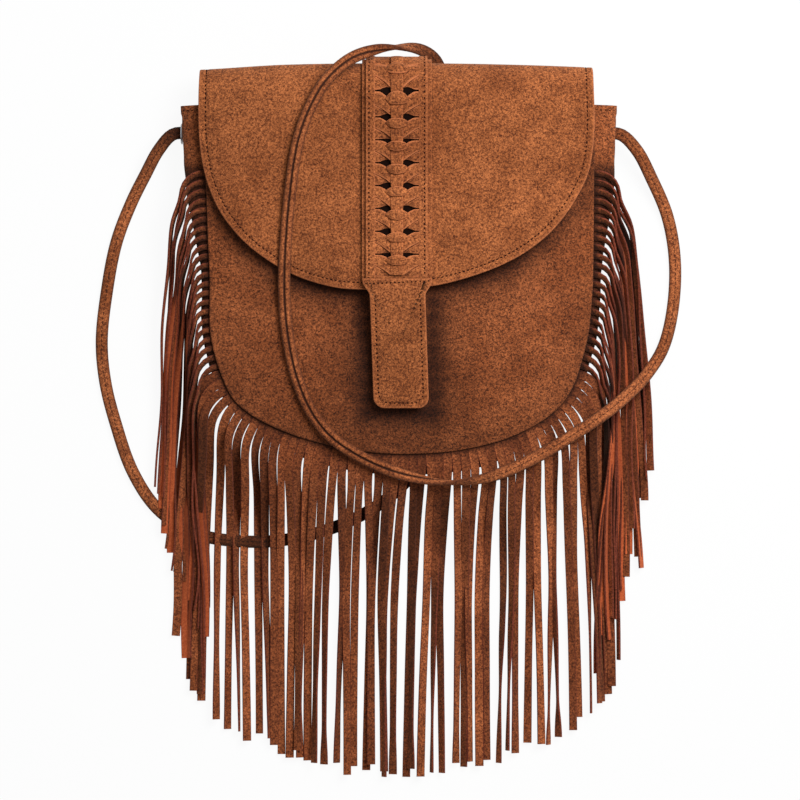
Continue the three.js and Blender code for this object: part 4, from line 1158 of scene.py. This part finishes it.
def suedeMaterial(name, strands=False, line=False, **changes):
    # brushed suede; strands have a cut edge and a reverse, and line is the strap with its groove and stitches
    tone = dict(suede, **changes)
    shader = Shader(name)
    where = shader.place()
    height = shader.noise(where, tone["grain"], 3.0, 0.75) * 0.7 + shader.noise(where, tone["speck"], 0.0) * 0.3
    cloudy = shader.noise(where, tone["patch"], 4.0, 0.6, 0.4) * 0.6 + shader.noise(where, tone["broad"]) * 0.4
    grain = shader.ramp(height, *tone["grainRange"])
    colour = shader.blend(grain, tone["dark"], tone["light"])
    darker = shader.blend(1.0, colour, tone["drift"], "MULTIPLY")
    colour = shader.blend(shader.ramp(cloudy, *tone["driftRange"]), darker, colour)
    if strands:
        side = shader.uv("cut", 0)
        tint = shader.blend(shader.attribute("tint"), tone["strandLow"], tone["strandHigh"])
        colour = shader.blend(1.0, colour, tint, "MULTIPLY")
        cut = shader.blend(grain, tone["cutDark"], tone["cutLight"])
        back = shader.blend(grain, tone["backDark"], tone["backLight"])
        colour = shader.blend(shader.maths("GREATER_THAN", side, 0.25), colour, cut)
        colour = shader.blend(shader.maths("GREATER_THAN", side, 0.75), colour, back)
    if line:
        turn = shader.uv("run", 0)
        away = shader.maths("PINGPONG", turn, 0.5)
        flank = shader.maths("PINGPONG", turn, 0.25)
        beat = shader.maths("FRACT", shader.uv("run", 1) * tone["stitches"])
        stitch = shader.ramp(away, *tone["stitchRange"]) * shader.ramp(beat, *tone["stitchGap"])
        # painted shade along the strap's flanks, and a dark groove line, partly the seam and partly painted
        # shade
        groove = 1 - shader.ramp(away, *tone["grooveRange"])
        shadow = shader.ramp(flank, *tone["flankRange"]) * tone["flankShade"]
        colour = shader.blend(shadow, colour, tone["flank"])
        colour = shader.blend(groove * tone["grooveDark"] + stitch * tone["stitchDark"], colour, tone["seam"])
    # painted highlight on cut rims, partly the raw edge's own lighter colour
    colour = shader.blend(shader.attribute("edge") * tone["edge"], colour, tone["cutEdgeAndHighlightTone"])
    # painted shade: the colour is darkened wherever the shade attribute is set
    deep = shader.blend(1.0, colour, tone["shade"], "MULTIPLY")
    colour = shader.blend(shader.attribute("shade"), colour, deep)
    return shader.skin({
        "Base Color": colour, "Roughness": tone["rough"], "Specular IOR Level": tone["specular"],
        "Normal": shader.bump(height, tone["bump"], tone["bumpDepth"]), "Sheen Weight": tone["sheen"],
        "Sheen Roughness": tone["sheenRough"], "Sheen Tint": tone["sheenTint"],
    })


def plainMaterial(name, a, b, scale, rough, metal=0.0, bump=0.1, shine=0.5):
    shader = Shader(name)
    mottle = shader.noise(shader.place(), scale, 3.0, 0.6)
    return shader.skin({
        "Base Color": shader.blend(mottle, a, b), "Roughness": shader.ramp(mottle, 0.2, 0.8) * 0.12 + rough,
        "Metallic": metal, "Normal": shader.bump(mottle, bump, 0.0001), "Specular IOR Level": shine,
    })


def clothMaterial(name, a, b, threads):
    shader = Shader(name)
    where = shader.place()
    warp, weft = (shader.maths("SINE", shader.part(where, axis) * threads) for axis in (0, 1))
    weave = warp * weft * 0.5 + 0.5
    return shader.skin({"Base Color": shader.blend(weave, a, b), "Roughness": 0.85,
                        "Normal": shader.bump(weave, 0.4, 0.0001)})


def dress(material, *pieces):
    for piece in pieces:
        piece.data.materials.clear()
        piece.data.materials.append(material)


dress(suedeMaterial("bodySuede"), flapPiece, underBand, tabPiece, tabUnder)
# the lacing gets a stronger painted highlight on its cut rims, the panels none
dress(suedeMaterial("laceSuede", dark=rgb(86, 38, 18), light=rgb(220, 132, 76), edge=0.8), bandPiece, thong)
dress(suedeMaterial("panelSuede", dark=rgb(66, 28, 13), light=rgb(208, 119, 68), edge=0.0),
      frontPanel, gusset, backPanel)
dress(suedeMaterial("strapSuede", dark=rgb(84, 37, 19), light=rgb(220, 130, 76), line=True), strapPiece)
dress(suedeMaterial("knotSuede"), knotLeft, knotRight)
dress(suedeMaterial("strandSuede", dark=rgb(80, 35, 18), light=rgb(206, 119, 70), strands=True),
      fringeBottom, fringeLeft, fringeRight)
# the painted shade sheet under the lacing
dress(plainMaterial("lacingShadowSheet", rgb(16, 7, 5), rgb(30, 14, 9), 700, 0.85, shine=0.05), bandShadow)
dress(plainMaterial("threadDark", rgb(30, 9, 4), rgb(54, 19, 10), 2500, 0.8, shine=0.1),
      flapStitches, bandStitches, tabStitches, hemRows)
dress(clothMaterial("liningWeave", rgb(92, 62, 42), rgb(124, 88, 62), 9000.0), lining, flapLining)
dress(plainMaterial("nickel", (0.3, 0.3, 0.31, 1), (0.44, 0.44, 0.46, 1), 400, 0.3, metal=1.0, bump=0.02),
      *[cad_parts[name] for name in (
          "eyelet_left", "eyelet_right", "eyelet_washer_left", "eyelet_washer_right",
          "snap_socket", "snap_stud", "snap_stud_washer", "snap_socket_washer",
      )])

# ---- sheets, as cut
flapArea, frontArea = abs(areaOf(flapOutline)), abs(areaOf(seamLine))
print("  flap", round(flapArea), "front", round(frontArea), "mm2")

# ---- floor and light
print("stage")
stage = dict(floorSize=8, floorTone=0.86, floorGlow=0.93, skyLight=0.3,
             lampAt=(0.55, 0.6, 1.0), lampSize=0.75, lampPower=18.2, lampAim=(0, 0, 0.02))
bpy.ops.mesh.primitive_plane_add(size=stage["floorSize"], location=(0, 0, -0.0001))
floor = bpy.context.object
floor.name = "floor"
paint = Shader("paleFloor")
seen = paint.node("ShaderNodeLightPath", output="Is Camera Ray")
seen += paint.node("ShaderNodeLightPath", output="Is Glossy Ray")
seen += paint.node("ShaderNodeLightPath", output="Is Transmission Ray")
matt = paint.node("ShaderNodeBsdfDiffuse", None, {"Color": (*[stage["floorTone"]] * 3, 1)})
glow = paint.node("ShaderNodeEmission", None, {"Color": (1, 1, 1, 1), "Strength": 1.0})
both = paint.node("ShaderNodeMixShader", None, {0: seen * stage["floorGlow"], 1: matt, 2: glow})
dress(paint.finish(both), floor)

world = bpy.data.worlds.new("studio")
bpy.context.scene.world = world
world.use_nodes = True
sky = world.node_tree.nodes["Background"]
sky.inputs[0].default_value = (1, 1, 1, 1)
sky.inputs[1].default_value = stage["skyLight"]
bpy.ops.object.light_add(type="AREA", location=stage["lampAt"])
lamp = bpy.context.object
lamp.name = "overhead"
lamp.data.shape = "SQUARE"
lamp.data.size = stage["lampSize"]
lamp.data.energy = stage["lampPower"]
lamp.rotation_euler = (Vector(stage["lampAim"]) - Vector(stage["lampAt"])).to_track_quat("-Z", "Y").to_euler()
bpy.context.scene.view_settings.view_transform = "Standard"
